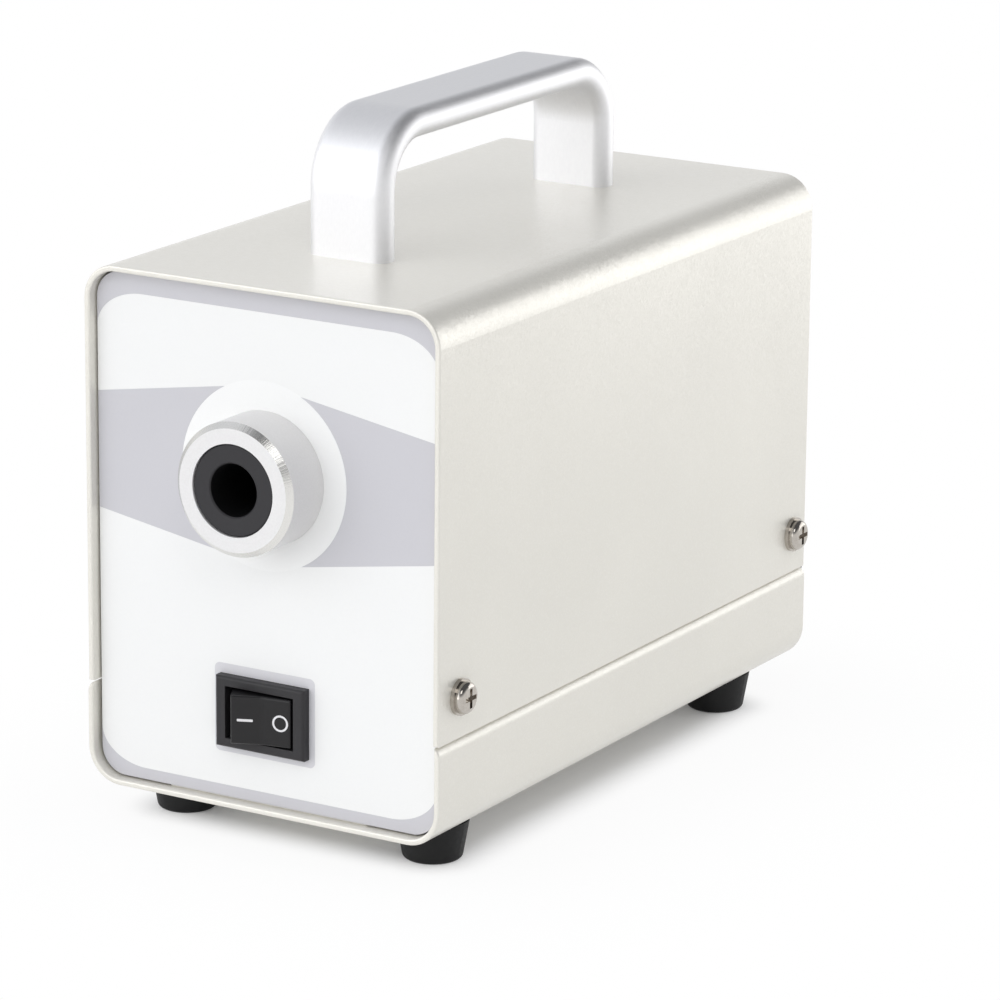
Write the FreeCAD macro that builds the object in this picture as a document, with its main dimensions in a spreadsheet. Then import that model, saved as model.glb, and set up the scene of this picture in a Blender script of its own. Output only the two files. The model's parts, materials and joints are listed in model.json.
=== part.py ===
import FreeCAD, Part
import math
import os

import Sketcher

# Fiber optic illuminator: a bench light source for a fibre light guide.
# Millimetres. X runs to the right seen from the front, Y to the rear, Z up.
# The origin is the middle of the footprint of the whole object, on the surface it stands on.

SIZES = [
    # the two-shell case
    ("case_width", 80.0, "outside width of the top cover"),
    ("case_depth", 147.0, "depth of both shells, rim to rim"),
    ("case_height", 104.0, "height of the two shells together"),
    ("corner_radius", 7.0, "outside radius of the cover's top corners"),
    ("sheet", 1.2, "steel sheet of the shells"),
    ("seam_height", 20.4, "seam above the underside of the tray"),
    ("seam_gap", 0.05, "open joint between tray shoulder and cover edge"),
    ("tray_proud", 0.25, "how far the tray stands outside the cover, each side"),
    ("shoulder_round", 2.2, "rolled edge of the tray under the seam"),
    ("flange_rise", 15.6, "tray flange above the seam, inside the cover"),
    ("slide_gap", 0.15, "clearance between nested sheet parts"),
    ("rim_recess", 2.3, "graphic face behind the front rim, and rear plate inside the rear rim"),
    ("rim_round", 0.4, "rounded edges of the rims"),
    # the two end panels
    ("panel_sheet", 1.5, "aluminium of the panels"),
    ("film_sheet", 0.4, "printed film on the front panel"),
    ("panel_gap", 0.35, "joint between a panel's edge and the shells"),
    ("tab_depth", 12.0, "side tabs and bottom lips behind the panels"),
    ("tab_rise", 12.0, "height of a side tab"),
    ("tab_lift", 2.0, "side tab above the seam"),
    ("lip_nut_gap", 2.5, "end of a bottom lip off the nearest foot nut"),
    ("lip_screw_across", 4.5, "lip screws in from the ends of their lip"),
    ("lip_screw_inset", 6.6, "lip screws behind their panel"),
    ("cut_past", 1.0, "how far a cut runs past the face that it opens"),
    # side screws
    ("side_screw_height", 28.6, "side screws above the underside of the tray"),
    ("side_screw_front", 7.8, "front side screws behind the front rim"),
    ("side_screw_rear", 5.6, "rear side screws before the rear rim"),
    ("side_head_radius", 3.2, "pan head of a side screw"),
    ("side_head_height", 1.7, "pan head above its washer"),
    ("side_washer_radius", 3.6, "washer under a side screw"),
    ("side_washer_sheet", 0.8, "thickness of that washer"),
    # screws: two sizes for the whole object
    ("large_shank", 2.0, "radius of the larger screws"),
    ("large_head", 3.5, "head radius of the larger screws"),
    ("small_shank", 1.5, "radius of the smaller screws"),
    ("small_head", 2.8, "head radius of the smaller screws"),
    ("head_height", 1.9, "head of an inner screw"),
    ("hole_gap", 0.2, "clearance of a screw in a plain hole"),
    ("thread_gap", 0.05, "clearance of a screw in its thread"),
    ("large_nut", 3.5, "half the width across flats of the larger nuts"),
    ("small_nut", 2.75, "half the width across flats of the smaller nuts"),
    ("nut_height", 2.4, "height of a nut"),
    ("thread_end", 0.6, "screw past its nut"),
    ("thread_room", 2.0, "tapped hole past the end of its screw"),
    ("recess_width", 0.9, "arm of the cross recess"),
    ("recess_depth", 0.9, "depth of the cross recess"),
    # feet
    ("foot_height", 8.0, "rubber foot"),
    ("foot_top_radius", 7.2, "foot where it meets the tray"),
    ("foot_bottom_radius", 5.8, "foot at the floor"),
    ("foot_round", 1.1, "rounded bottom edge of a foot"),
    ("foot_across", 11.75, "feet in from the sides of the tray"),
    ("foot_along", 17.0, "feet in from the front and rear rims"),
    ("foot_well_radius", 3.9, "counterbore for the screw head in a foot"),
    ("foot_well_depth", 4.0, "depth of that counterbore"),
    # carry handle
    ("handle_height", 28.0, "handle above the cover"),
    ("handle_length", 90.0, "handle over both legs"),
    ("handle_width", 17.8, "width of the flat bar"),
    ("handle_across", 0.8, "handle to the right of the middle"),
    ("handle_bar", 6.0, "thickness of the flat bar"),
    ("handle_bend", 15.0, "outside radius of its bends"),
    ("handle_edge", 2.85, "rounded long edges"),
    ("handle_thread_depth", 12.0, "tapped hole up each leg"),
    ("handle_washer_radius", 6.0, "washer under a handle screw"),
    ("handle_washer_sheet", 1.0, "thickness of that washer"),
    # light port
    ("port_height", 66.6, "optical axis above the underside of the tray"),
    ("port_reach", 9.0, "port in front of the front rim"),
    ("boss_radius", 13.1, "turned boss"),
    ("boss_chamfer", 1.1, "bright chamfer round its face"),
    ("neck_radius", 11.0, "threaded neck through the panel"),
    ("neck_reach", 9.0, "neck behind the panel"),
    ("sleeve_radius", 8.95, "black sleeve in the boss"),
    ("sleeve_gap", 0.1, "clearance of sleeve and lens in their bores"),
    ("sleeve_recess", 0.25, "sleeve behind the boss face"),
    ("guide_radius", 5.2, "bore for the light guide"),
    ("guide_depth", 20.0, "depth of that bore"),
    ("stop_radius", 4.2, "opening in the stop at the end of the bore"),
    ("port_nut_half", 15.0, "half the width across flats of the port nut"),
    ("port_nut_height", 4.0, "height of the port nut"),
    # lens holder, lens and LED
    ("holder_start", 1.0, "lens holder behind the end of the neck"),
    ("holder_radius", 13.5, "lens holder barrel"),
    ("holder_flange", 19.0, "lens holder flange"),
    ("holder_flange_sheet", 3.5, "thickness of that flange"),
    ("holder_screws", 16.2, "pitch radius of the flange screws"),
    ("lens_radius", 10.0, "condenser lens"),
    ("lens_edge", 3.0, "thickness of the lens at its edge"),
    ("lens_crown", 4.6, "height of the lens dome"),
    ("lens_dome", 8.8, "radius of the lens dome at its foot"),
    ("lens_seat", 8.8, "opening under the lens"),
    ("lens_seat_sheet", 1.5, "thickness of the lens seat"),
    ("lens_stand", 7.0, "lens seat in front of the heat sink"),
    ("ring_height", 2.0, "ring that holds the lens"),
    ("board_radius", 10.0, "round LED board"),
    ("board_well", 11.0, "space for it in the holder"),
    ("led_board_sheet", 1.6, "LED board"),
    ("led_board_screws", 8.0, "pitch radius of the LED board screws"),
    ("optics_head", 2.3, "head radius of the screws round the LED"),
    ("led_chip", 7.0, "side of the LED package"),
    ("led_chip_sheet", 0.8, "thickness of the LED package"),
    ("led_dome", 2.6, "radius of the clear dome"),
    ("lead_slot", 2.6, "half the width of the lead slot in the flange"),
    # heat sink and its bracket
    ("engine_gap", 23.0, "heat sink face behind the end of the neck"),
    ("sink_side", 60.0, "square heat sink"),
    ("sink_base", 5.0, "its base plate"),
    ("sink_fin_length", 46.0, "fins behind the base plate"),
    ("sink_fin_sheet", 1.5, "thickness of a fin"),
    ("sink_fins", 11, "number of fins"),
    ("sink_thread", 3.2, "length of thread in the heat sink"),
    ("bracket_half", 28.0, "half the width of the engine bracket"),
    ("bracket_sheet", 1.5, "bracket sheet"),
    ("bracket_overlap", 10.0, "bracket up the face of the heat sink"),
    ("bracket_foot", 12.0, "foot of the bracket on the tray"),
    ("bracket_screw_across", 20.0, "bracket screws either side of the middle"),
    ("cable_window_half", 9.0, "half the width of the cable window"),
    ("cable_window_low", 4.0, "window above the bracket's foot"),
    ("cable_window_high", 16.0, "top of the window above the bracket's foot"),
    # fan
    ("fan_side", 60.0, "square fan frame"),
    ("fan_depth", 15.0, "fan frame front to back"),
    ("fan_height", 34.8, "height of the cover's ceiling above the fan axis"),
    ("fan_duct", 28.5, "duct radius"),
    ("fan_hole_pitch", 25.0, "fan screws either side of the axis"),
    ("fan_hub", 12.0, "rotor hub"),
    ("fan_end_gap", 1.0, "rotor to stator plate, and to the frame's front"),
    ("fan_tip_gap", 1.5, "blade tip to duct"),
    ("fan_blade_root", 1.0, "blade sunk into the hub"),
    ("fan_blade_sheet", 1.7, "blade, measured round the hub"),
    ("fan_blade_sweep", 7.0, "how far a blade leans round over its depth"),
    ("fan_blades", 7, "number of blades"),
    ("fan_plate", 2.0, "stator plate and its spokes"),
    ("fan_spoke_half", 2.0, "half the width of a spoke"),
    ("fan_shaft", 1.5, "rotor shaft"),
    ("fan_shaft_room", 0.5, "bearing bore past the end of the shaft"),
    ("fan_bearing_gap", 0.05, "running clearance of the shaft"),
    ("fan_bearing_radius", 3.5, "bearing tube"),
    ("fan_bearing_length", 8.0, "bearing tube in front of the stator plate"),
    ("fan_opening", 27.5, "hole for the fan in the rear panel"),
    ("guard_wire", 0.8, "radius of the guard's wire"),
    ("guard_eye", 3.0, "eye of the guard round a fan screw"),
    ("guard_inner", 8.0, "smallest ring of the guard"),
    ("guard_pitch", 6.0, "step from ring to ring"),
    ("guard_rings", 4, "number of rings"),
    ("guard_weld", 0.4, "crossing wires pressed into each other"),
    # mains inlet
    ("inlet_across", 3.8, "inlet flange in from the cover's left wall"),
    ("inlet_height", 19.5, "inlet above the underside of the tray"),
    ("inlet_flange_width", 50.0, "flange over the screw ears"),
    ("inlet_flange_height", 22.0, "flange height"),
    ("inlet_ear", 4.6, "half the height of the flange's ends"),
    ("inlet_shoulder", 14.7, "half the width of the flange at its full height"),
    ("inlet_flange_sheet", 2.2, "flange thickness"),
    ("inlet_body_width", 27.0, "housing through the panel"),
    ("inlet_body_height", 19.4, "housing height"),
    ("inlet_body_depth", 17.0, "housing behind the panel's outer face"),
    ("inlet_socket_width", 24.4, "socket opening"),
    ("inlet_socket_height", 16.6, "socket opening height"),
    ("inlet_socket_corner", 4.5, "slanted upper corners of the socket"),
    ("inlet_socket_depth", 15.5, "socket depth from the flange face"),
    ("inlet_screw_half", 20.0, "inlet screws either side of the inlet"),
    ("pin_wide", 4.0, "pin width"),
    ("pin_sheet", 2.0, "pin thickness"),
    ("pin_pitch", 7.0, "live and neutral pins either side of earth"),
    ("pin_drop", 2.0, "live and neutral pins below the middle, earth above"),
    ("pin_recess", 3.0, "pin tips behind the flange face"),
    ("pin_tail", 4.0, "tails behind the housing"),
    # dimmer
    ("dimmer_across", 0.8, "potentiometer off the right side tab"),
    ("dimmer_height", 19.5, "dimmer above the underside of the tray"),
    ("pot_radius", 8.0, "potentiometer body"),
    ("pot_depth", 9.0, "potentiometer body depth"),
    ("pot_tab_half", 0.8, "half the width of a potentiometer terminal"),
    ("pot_tab_sheet", 0.8, "thickness of that terminal"),
    ("pot_tab_reach", 2.0, "terminal below the potentiometer"),
    ("pot_tab_lap", 2.0, "terminal up its face"),
    ("pot_tab_pitch", 4.8, "step from terminal to terminal"),
    ("bush_radius", 3.5, "threaded bush"),
    ("bush_reach", 3.2, "bush in front of the panel"),
    ("spindle_radius", 3.0, "dimmer shaft"),
    ("spindle_gap", 0.05, "running clearance of the shaft"),
    ("spindle_seat", 6.0, "shaft inside the potentiometer"),
    ("dimmer_nut_radius", 5.5, "half the width across flats of the bush nut"),
    ("dimmer_nut_height", 2.0, "height of the bush nut"),
    ("knob_radius", 8.5, "dimmer knob"),
    ("knob_reach", 9.0, "knob behind the rear rim"),
    ("knob_lift", 1.0, "knob clear of the rear panel"),
    ("knob_well", 7.0, "hollow of the knob over the bush nut"),
    ("knob_top", 3.0, "solid top of the knob"),
    ("knob_hold", 3.5, "knob's grip on the shaft below its solid top"),
    ("knob_edge", 0.8, "rounded edge of the knob"),
    ("knob_flutes", 24, "number of grip flutes"),
    ("knob_flute_radius", 0.5, "radius of a flute"),
    # rocker switch
    ("switch_height", 19.3, "switch above the underside of the tray"),
    ("switch_left", 0.35, "switch to the left of the middle"),
    ("bezel_width", 20.2, "switch bezel"),
    ("bezel_height", 14.2, "bezel height"),
    ("bezel_proud", 2.1, "bezel in front of the film"),
    ("bezel_edge", 0.6, "rounded front edge of the bezel"),
    ("switch_body_width", 18.0, "housing through the panel"),
    ("switch_body_height", 12.4, "housing height"),
    ("switch_body_depth", 14.0, "housing behind the film's face"),
    ("well_width", 15.6, "rocker opening"),
    ("well_height", 10.5, "rocker opening height"),
    ("rocker_half", 6.0, "half the rocker's length at its face"),
    ("rocker_height", 9.7, "rocker across its pivot"),
    ("rocker_tilt", 16.0, "tilt to either side, degrees"),
    ("rocker_dish", 7.0, "slope of either half towards the middle, degrees"),
    ("rocker_rise", 4.8, "middle of the rocker's face in front of its pivot"),
    ("rocker_proud", 0.15, "pressed end in front of the bezel's face"),
    ("rocker_edge", 0.45, "rounded edges of the rocker's face"),
    ("rocker_valley", 4.0, "soft crease between its halves"),
    ("rocker_waist", 6.9, "half the rocker's length near its pivot"),
    ("rocker_shoulder", 0.5, "widest place of the rocker in front of its pivot"),
    ("rocker_skirt", 2.5, "rocker behind its pivot"),
    ("rocker_skirt_half", 5.0, "half the rocker's length at the back"),
    ("rocker_pin", 1.0, "pivot pin radius"),
    ("rocker_pin_gap", 0.05, "running clearance of the pivot pins"),
    ("rocker_pin_bite", 0.9, "pins into the side walls"),
    ("well_floor_gap", 2.0, "well floor behind the rocker"),
    ("blade_wide", 4.8, "switch terminal width"),
    ("blade_sheet", 0.8, "terminal thickness"),
    ("blade_length", 8.0, "terminal behind the housing"),
    ("blade_pitch", 4.5, "terminals either side of the middle"),
    # driver board
    ("driver_stud_gap", 1.8, "side edge of the driver board off the earth stud"),
    ("driver_front", 3.3, "driver board behind the face of the heat sink"),
    ("driver_rear", 9.2, "driver board before the tails of the inlet's pins"),
    ("driver_sheet", 1.6, "board thickness"),
    ("standoff_height", 6.0, "board above the tray"),
    ("standoff_half", 2.75, "half the width across flats of a standoff"),
    ("standoff_inset", 4.0, "standoffs in from the board's edges"),
    ("post_thread", 2.2, "length of thread in either end of a standoff"),
    # components on the driver board
    ("core_across", 2.5, "transformer in from the board's left edge"),
    ("core_along", 39.0, "middle of the transformer behind the board's front edge"),
    ("core_half", 11.0, "half the width of the transformer core"),
    ("core_rise", 16.0, "height of the core"),
    ("core_leg", 5.0, "width of the core's legs, and half its depth"),
    ("core_yoke", 3.0, "height of the core's top and bottom"),
    ("winding_gap", 0.3, "winding inside the core"),
    ("big_can_across", 11.5, "mains capacitor in from the board's right edge"),
    ("big_can_along", 17.0, "mains capacitor behind the board's front edge"),
    ("big_can_radius", 6.5, "mains capacitor"),
    ("big_can_height", 20.0, "height of the mains capacitor"),
    ("small_can_across", 10.5, "output capacitors in from the board's right edge"),
    ("small_can_along", 24.0, "first output capacitor before the board's rear edge"),
    ("small_can_pitch", 10.0, "step to the second output capacitor"),
    ("small_can_radius", 4.0, "output capacitors"),
    ("small_can_height", 12.0, "height of the output capacitors"),
    ("choke_across", 10.5, "choke in from the board's left edge"),
    ("choke_along", 17.0, "choke behind the board's front edge"),
    ("choke_radius", 6.0, "middle line of the choke's ring"),
    ("choke_wound", 3.2, "radius of the wound ring"),
    ("plate_width", 14.0, "width of the transistor plate"),
    ("plate_right", 3.0, "transistor plate off the output capacitors"),
    ("plate_along", 12.0, "transistor plate before the board's rear edge"),
    ("plate_sheet", 1.5, "thickness of the transistor plate"),
    ("plate_rise", 20.0, "height of the transistor plate"),
    ("chip_half", 5.0, "half the width of the transistor"),
    ("chip_depth", 4.0, "thickness of the transistor"),
    ("chip_low", 4.0, "transistor above the board"),
    ("chip_rise", 12.0, "height of the transistor"),
    ("block_depth", 8.0, "terminal block front to back"),
    ("block_rise", 9.0, "height of a terminal block"),
    ("block_half", 6.0, "half the width of the narrow terminal blocks"),
    ("block_wide_half", 8.0, "half the width of the wide terminal block"),
    ("block_left", 1.7, "rear mains block off the nearest board screw"),
    ("block_right", 0.7, "rear output block off the nearest board screw"),
    ("block_inset", 1.0, "blocks in from the board's edges"),
    # leads and the earth stud
    ("mains_lead", 1.1, "radius of a mains lead"),
    ("light_lead", 0.6, "radius of a light lead"),
    ("lead_end_gap", 0.2, "lead's end off the terminal it is fixed to"),
    ("fan_lead_across", 15.0, "where the fan's leads leave its frame"),
    ("fan_lead_drop", 28.0, "those leads below the fan's axis"),
    ("stud_across", 0.2, "earth nut in from the tray's rounded corner"),
    ("stud_along", 12.0, "earth stud before the board's rear edge"),
    ("stud_height", 8.0, "earth stud above the tray"),
    # vents
    ("vent_slots", 7, "slots in the tray floor"),
    ("vent_pitch", 8.0, "step from slot to slot"),
    ("vent_half_width", 1.5, "half the width of a slot"),
    ("vent_half_length", 14.0, "half the length of a slot"),
]

NEAR = 1e-4  # two places closer than this are the same place
HEAD_ROUND = 0.75  # rounded shoulder of a pan head, as a share of its height
RECESS_REACH = 0.6  # cross recess, as a share of the head's radius

doc = FreeCAD.newDocument("fiber_optic_illuminator")
sheet = doc.addObject("Spreadsheet::Sheet", "Sizes")
for row, (alias, value, note) in enumerate(SIZES, start=1):
    sheet.set(f"A{row}", note)
    sheet.set(f"B{row}", str(value))
    sheet.setAlias(f"B{row}", alias)
doc.recompute()


class Size:
    """A length read from the sheet, with the expression that gives it."""

    def __init__(self, text, value):
        self.text = text
        self.value = float(value)

    def joined(self, sign, other, value):
        return Size(f"({self.text} {sign} {as_size(other).text})", value)

    def __add__(self, other):
        return self.joined("+", other, self.value + as_size(other).value)

    def __radd__(self, other):
        return as_size(other) + self

    def __sub__(self, other):
        return self.joined("-", other, self.value - as_size(other).value)

    def __rsub__(self, other):
        return as_size(other) - self

    def __mul__(self, other):
        return self.joined("*", other, self.value * as_size(other).value)

    def __rmul__(self, other):
        return as_size(other) * self

    def __truediv__(self, other):
        return self.joined("/", other, self.value / as_size(other).value)

    def __neg__(self):
        return Size(f"(0 - {self.text})", -self.value)


def as_size(number):
    """Any number as a Size."""
    if isinstance(number, Size):
        return number
    return Size(f"({float(number):.9f})", number)


class Dimensions:
    """Every alias of the sheet as an attribute."""


dim = Dimensions()
for alias, value, note in SIZES:
    setattr(dim, alias, Size(f"Sizes.{alias}", sheet.get(alias)))

node_list = []


def node(piece, name):
    """Name a finished piece; it is written to a file of that name."""
    piece.Label = name
    node_list.append(piece)
    return piece


def bind(piece, prop, size):
    """Bind one property of a document object to the sheet."""
    piece.setExpression(prop, as_size(size).text)


def count(size):
    """A whole number from the sheet, for patterns."""
    return int(round(size.value))


# --- sketches and features -------------------------------------------------------------

# for each plane: sign of its normal along the named axis
NORMAL_SIGN = {"XY": 1, "XZ": -1, "YZ": 1}


def polygon(points):
    """A closed outline of straight lines."""
    return ("polygon", points)


def rectangle(low_across, high_across, low_up, high_up):
    """A closed rectangle."""
    return polygon([(low_across, low_up), (high_across, low_up),
                    (high_across, high_up), (low_across, high_up)])


def rounded(low_across, high_across, low_up, high_up, low_radius=None, high_radius=None):
    """A rectangle whose two low and two high corners may each be round."""
    return ("rounded", low_across, high_across, low_up, high_up, low_radius, high_radius)


def circle(across, up, radius):
    """A closed circle."""
    return ("circle", across, up, radius)


def hexagon(across, up, half_flats):
    """A hexagon with flats on its two sides."""
    round_radius = half_flats / math.cos(math.pi / 6)
    corners = [math.radians(angle) for angle in range(30, 390, 60)]
    return polygon([(across + round_radius * math.cos(angle), up + round_radius * math.sin(angle))
                    for angle in corners])


def place_point(sketch, geometry, position, across, up):
    """Fix one point of a sketch at a bound distance from the sketch's origin."""
    for kind, size in (("DistanceX", as_size(across)), ("DistanceY", as_size(up))):
        index = sketch.addConstraint(
            Sketcher.Constraint(kind, -1, 1, geometry, position, size.value))
        sketch.setExpression(f"Constraints[{index}]", size.text)


def draw_polygon(sketch, points):
    """Lines from point to point, every point bound."""
    first = sketch.GeometryCount
    spots = [FreeCAD.Vector(as_size(a).value, as_size(b).value, 0) for a, b in points]
    total = len(spots)
    for index, spot in enumerate(spots):
        sketch.addGeometry(Part.LineSegment(spot, spots[(index + 1) % total]), False)
    for index in range(total):
        following = first + (index + 1) % total
        sketch.addConstraint(Sketcher.Constraint("Coincident", first + index, 2, following, 1))
    for index, (across, up) in enumerate(points):
        place_point(sketch, first + index, 1, across, up)


def draw_rounded(sketch, low_across, high_across, low_up, high_up, low_radius, high_radius):
    """A rectangle with tangent arcs at its round corners, every point bound."""
    # each corner with the way the outline comes in and the way it leaves
    corners = [
        (low_across, low_up, (0, -1), (1, 0), low_radius),
        (high_across, low_up, (1, 0), (0, 1), low_radius),
        (high_across, high_up, (0, 1), (-1, 0), high_radius),
        (low_across, high_up, (-1, 0), (0, -1), high_radius),
    ]
    ends = []
    for across, up, came, goes, radius in corners:
        reach = as_size(0) if radius is None else as_size(radius)
        arrive = (across - came[0] * reach, up - came[1] * reach)
        leave = (across + goes[0] * reach, up + goes[1] * reach)
        ends.append((arrive, leave))
    lines = []
    for index in range(4):
        start = ends[index][1]
        finish = ends[(index + 1) % 4][0]
        spots = [FreeCAD.Vector(as_size(a).value, as_size(u).value, 0) for a, u in (start, finish)]
        line = sketch.addGeometry(Part.LineSegment(*spots), False)
        place_point(sketch, line, 1, *start)
        if corners[(index + 1) % 4][4] is not None:
            place_point(sketch, line, 2, *finish)
        lines.append(line)
    for index, (across, up, came, goes, radius) in enumerate(corners):
        before = lines[(index - 1) % 4]
        after = lines[index]
        if radius is None:
            sketch.addConstraint(Sketcher.Constraint("Coincident", before, 2, after, 1))
            continue
        size = as_size(radius)
        centre = FreeCAD.Vector(
            as_size(across).value + (goes[0] - came[0]) * size.value,
            as_size(up).value + (goes[1] - came[1]) * size.value, 0)
        opening = math.atan2(-goes[1], -goes[0])
        whole = Part.Circle(centre, FreeCAD.Vector(0, 0, 1), size.value)
        arc = sketch.addGeometry(Part.ArcOfCircle(whole, opening, opening + math.pi / 2), False)
        sketch.addConstraint(Sketcher.Constraint("Coincident", before, 2, arc, 1))
        sketch.addConstraint(Sketcher.Constraint("Coincident", arc, 2, after, 1))
        fixed = sketch.addConstraint(Sketcher.Constraint("Radius", arc, size.value))
        sketch.setExpression(f"Constraints[{fixed}]", size.text)


def draw_circle(sketch, across, up, radius):
    """A circle with its centre and radius bound."""
    centre = FreeCAD.Vector(as_size(across).value, as_size(up).value, 0)
    upward = FreeCAD.Vector(0, 0, 1)
    index = sketch.addGeometry(Part.Circle(centre, upward, as_size(radius).value), False)
    place_point(sketch, index, 3, across, up)
    fixed = sketch.addConstraint(Sketcher.Constraint("Radius", index, as_size(radius).value))
    sketch.setExpression(f"Constraints[{fixed}]", as_size(radius).text)


DRAW = {"polygon": draw_polygon, "rounded": draw_rounded, "circle": draw_circle}


def new_sketch(body, plane, loops, level):
    """A sketch on one of the body's own planes, moved to a level along that plane's axis."""
    sketch = body.newObject("Sketcher::SketchObject", body.Name + "_outline")
    support = next(f for f in body.Origin.OriginFeatures if f.Role == plane + "_Plane")
    sketch.AttachmentSupport = (support, [""])
    sketch.MapMode = "FlatFace"
    bind(sketch, "AttachmentOffset.Base.z", NORMAL_SIGN[plane] * as_size(level))
    for loop in loops:
        DRAW[loop[0]](sketch, *loop[1:])
    return sketch


def new_body(name):
    """An empty body."""
    return doc.addObject("PartDesign::Body", name)


def add(body, plane, loops, low, high):
    """Material between two levels, from outlines in a plane."""
    pad = body.newObject("PartDesign::Pad", body.Name + "_pad")
    pad.Profile = new_sketch(body, plane, loops, low)
    pad.Reversed = NORMAL_SIGN[plane] < 0
    bind(pad, "Length", high - as_size(low))
    doc.recompute()
    return pad


def remove(body, plane, loops, low, high):
    """Take material away between two levels, from outlines in a plane."""
    before = body.Shape.Volume
    pocket = body.newObject("PartDesign::Pocket", body.Name + "_pocket")
    pocket.Profile = new_sketch(body, plane, loops, low)
    pocket.Reversed = NORMAL_SIGN[plane] > 0
    bind(pocket, "Length", high - as_size(low))
    doc.recompute()
    if not body.Shape.Volume < before - NEAR:
        raise ValueError(f"{body.Name}: a pocket took nothing away")
    return pocket


def round_edges(body, radius, chosen):
    """Fillet the edges that a test picks."""
    tip = body.Tip
    names = [f"Edge{i}" for i, edge in enumerate(tip.Shape.Edges, start=1) if chosen(edge)]
    if not names:
        raise ValueError(f"{body.Name}: no edge to round")
    fillet = body.newObject("PartDesign::Fillet", body.Name + "_round")
    fillet.Base = (tip, names)
    bind(fillet, "Radius", radius)
    doc.recompute()
    return fillet


def runs_along(edge, direction):
    """Whether an edge is straight and parallel to an axis."""
    if not isinstance(edge.Curve, (Part.Line, Part.LineSegment)):
        return False
    along = edge.tangentAt(edge.FirstParameter)
    return abs(abs(along.dot(direction)) - 1) < NEAR


ALONG_X = FreeCAD.Vector(1, 0, 0)
ALONG_Y = FreeCAD.Vector(0, 1, 0)
ALONG_Z = FreeCAD.Vector(0, 0, 1)


FACING = {
    "+Z": FreeCAD.Rotation(ALONG_X, 0),
    "-Z": FreeCAD.Rotation(ALONG_X, 180),
    "+Y": FreeCAD.Rotation(ALONG_X, -90),
    "-Y": FreeCAD.Rotation(ALONG_X, 90),
    "+X": FreeCAD.Rotation(ALONG_Y, 90),
    "-X": FreeCAD.Rotation(ALONG_Y, -90),
}


def put(piece, across, along, up, facing="+Z"):
    """Place a piece, its own Z turned to face a direction."""
    piece.Placement = FreeCAD.Placement(FreeCAD.Vector(0, 0, 0), FACING[facing])
    bind(piece, "Placement.Base.x", across)
    bind(piece, "Placement.Base.y", along)
    bind(piece, "Placement.Base.z", up)
    return piece


def turned(name, outline):
    """A lathe-turned piece on its own Z axis, from (radius, height) points."""
    body = new_body(name)
    revolution = body.newObject("PartDesign::Revolution", name + "_turn")
    sketch = new_sketch(body, "XZ", [polygon(outline)], 0)
    revolution.Profile = sketch
    revolution.ReferenceAxis = (sketch, ["V_Axis"])
    revolution.Angle = 360
    doc.recompute()
    return body


def ring(name, inner, outer, low, high):
    """A plain turned ring."""
    return turned(name, [(inner, low), (outer, low), (outer, high), (inner, high)])


def screw(name, shank, length, head, head_height):
    """A pan-head screw: its head from height 0 up, its shank below, with a cross recess."""
    body = turned(name, [(0, -length), (shank, -length), (shank, 0), (head, 0),
                         (head, head_height), (0, head_height)])
    round_edges(body, head_height * HEAD_ROUND,
                lambda edge: abs(edge.BoundBox.ZMin - head_height.value) < NEAR)
    arm = head * RECESS_REACH
    half = dim.recess_width / 2
    for cross in (rectangle(-arm, arm, -half, half), rectangle(-half, half, -arm, arm)):
        remove(body, "XY", [cross], head_height - dim.recess_depth, head_height + dim.recess_depth)
    return body


def hex_nut(name, shank, half_flats, height):
    """A hexagon nut or spacer on its own Z axis, from height 0 up."""
    body = new_body(name)
    add(body, "XY", [hexagon(0, 0, half_flats), circle(0, 0, shank + dim.thread_gap)], 0, height)
    return body


def block(name, across, along, up):
    """A box between three pairs of bounds."""
    box = doc.addObject("Part::Box", name)
    for prop, (low, high) in zip(("Length", "Width", "Height"), (across, along, up)):
        bind(box, prop, as_size(high) - low)
    return put(box, across[0], along[0], up[0])


def rod(name, radius, length, across, along, up, facing="+Z"):
    """A plain cylinder."""
    cylinder = doc.addObject("Part::Cylinder", name)
    bind(cylinder, "Radius", radius)
    bind(cylinder, "Height", length)
    return put(cylinder, across, along, up, facing)


def fused(name, pieces):
    """Several shapes as one solid."""
    union = doc.addObject("Part::MultiFuse", name)
    union.Shapes = pieces
    return union


def group(name, pieces):
    """Like pieces as separate solids in one node."""
    compound = doc.addObject("Part::Compound", name)
    compound.Links = pieces
    return node(compound, name)


# --- places that several pieces share ---------------------------------------------------

case_middle = (dim.port_reach - dim.knob_reach) / 2
front_rim = case_middle - dim.case_depth / 2
rear_rim = case_middle + dim.case_depth / 2
film_face = front_rim + dim.rim_recess
panel_face = film_face + dim.film_sheet
panel_back = panel_face + dim.panel_sheet
rear_face = rear_rim - dim.rim_recess
rear_back = rear_face - dim.panel_sheet

tray_under = dim.foot_height
tray_floor = tray_under + dim.sheet
case_top = tray_under + dim.case_height
ceiling = case_top - dim.sheet
seam = tray_under + dim.seam_height
cover_edge = seam + dim.seam_gap
flange_top = seam + dim.flange_rise

cover_half = dim.case_width / 2
cover_inner = cover_half - dim.sheet
tray_half = cover_half + dim.tray_proud
tray_inner = tray_half - dim.sheet
flange_half = cover_inner - dim.slide_gap
flange_inner = flange_half - dim.sheet
tab_half = flange_inner - dim.slide_gap

side_screw_up = tray_under + dim.side_screw_height
side_screw_front = front_rim + dim.side_screw_front
side_screw_rear = rear_rim - dim.side_screw_rear
side_screw_spots = [side_screw_front, side_screw_rear]

foot_half = tray_half - dim.foot_across
foot_spots = [(side * foot_half, along) for side in (-1, 1)
              for along in (front_rim + dim.foot_along, rear_rim - dim.foot_along)]
handle_screw_spots = [case_middle + end * (dim.handle_length - dim.handle_bar) / 2
                      for end in (-1, 1)]

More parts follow.
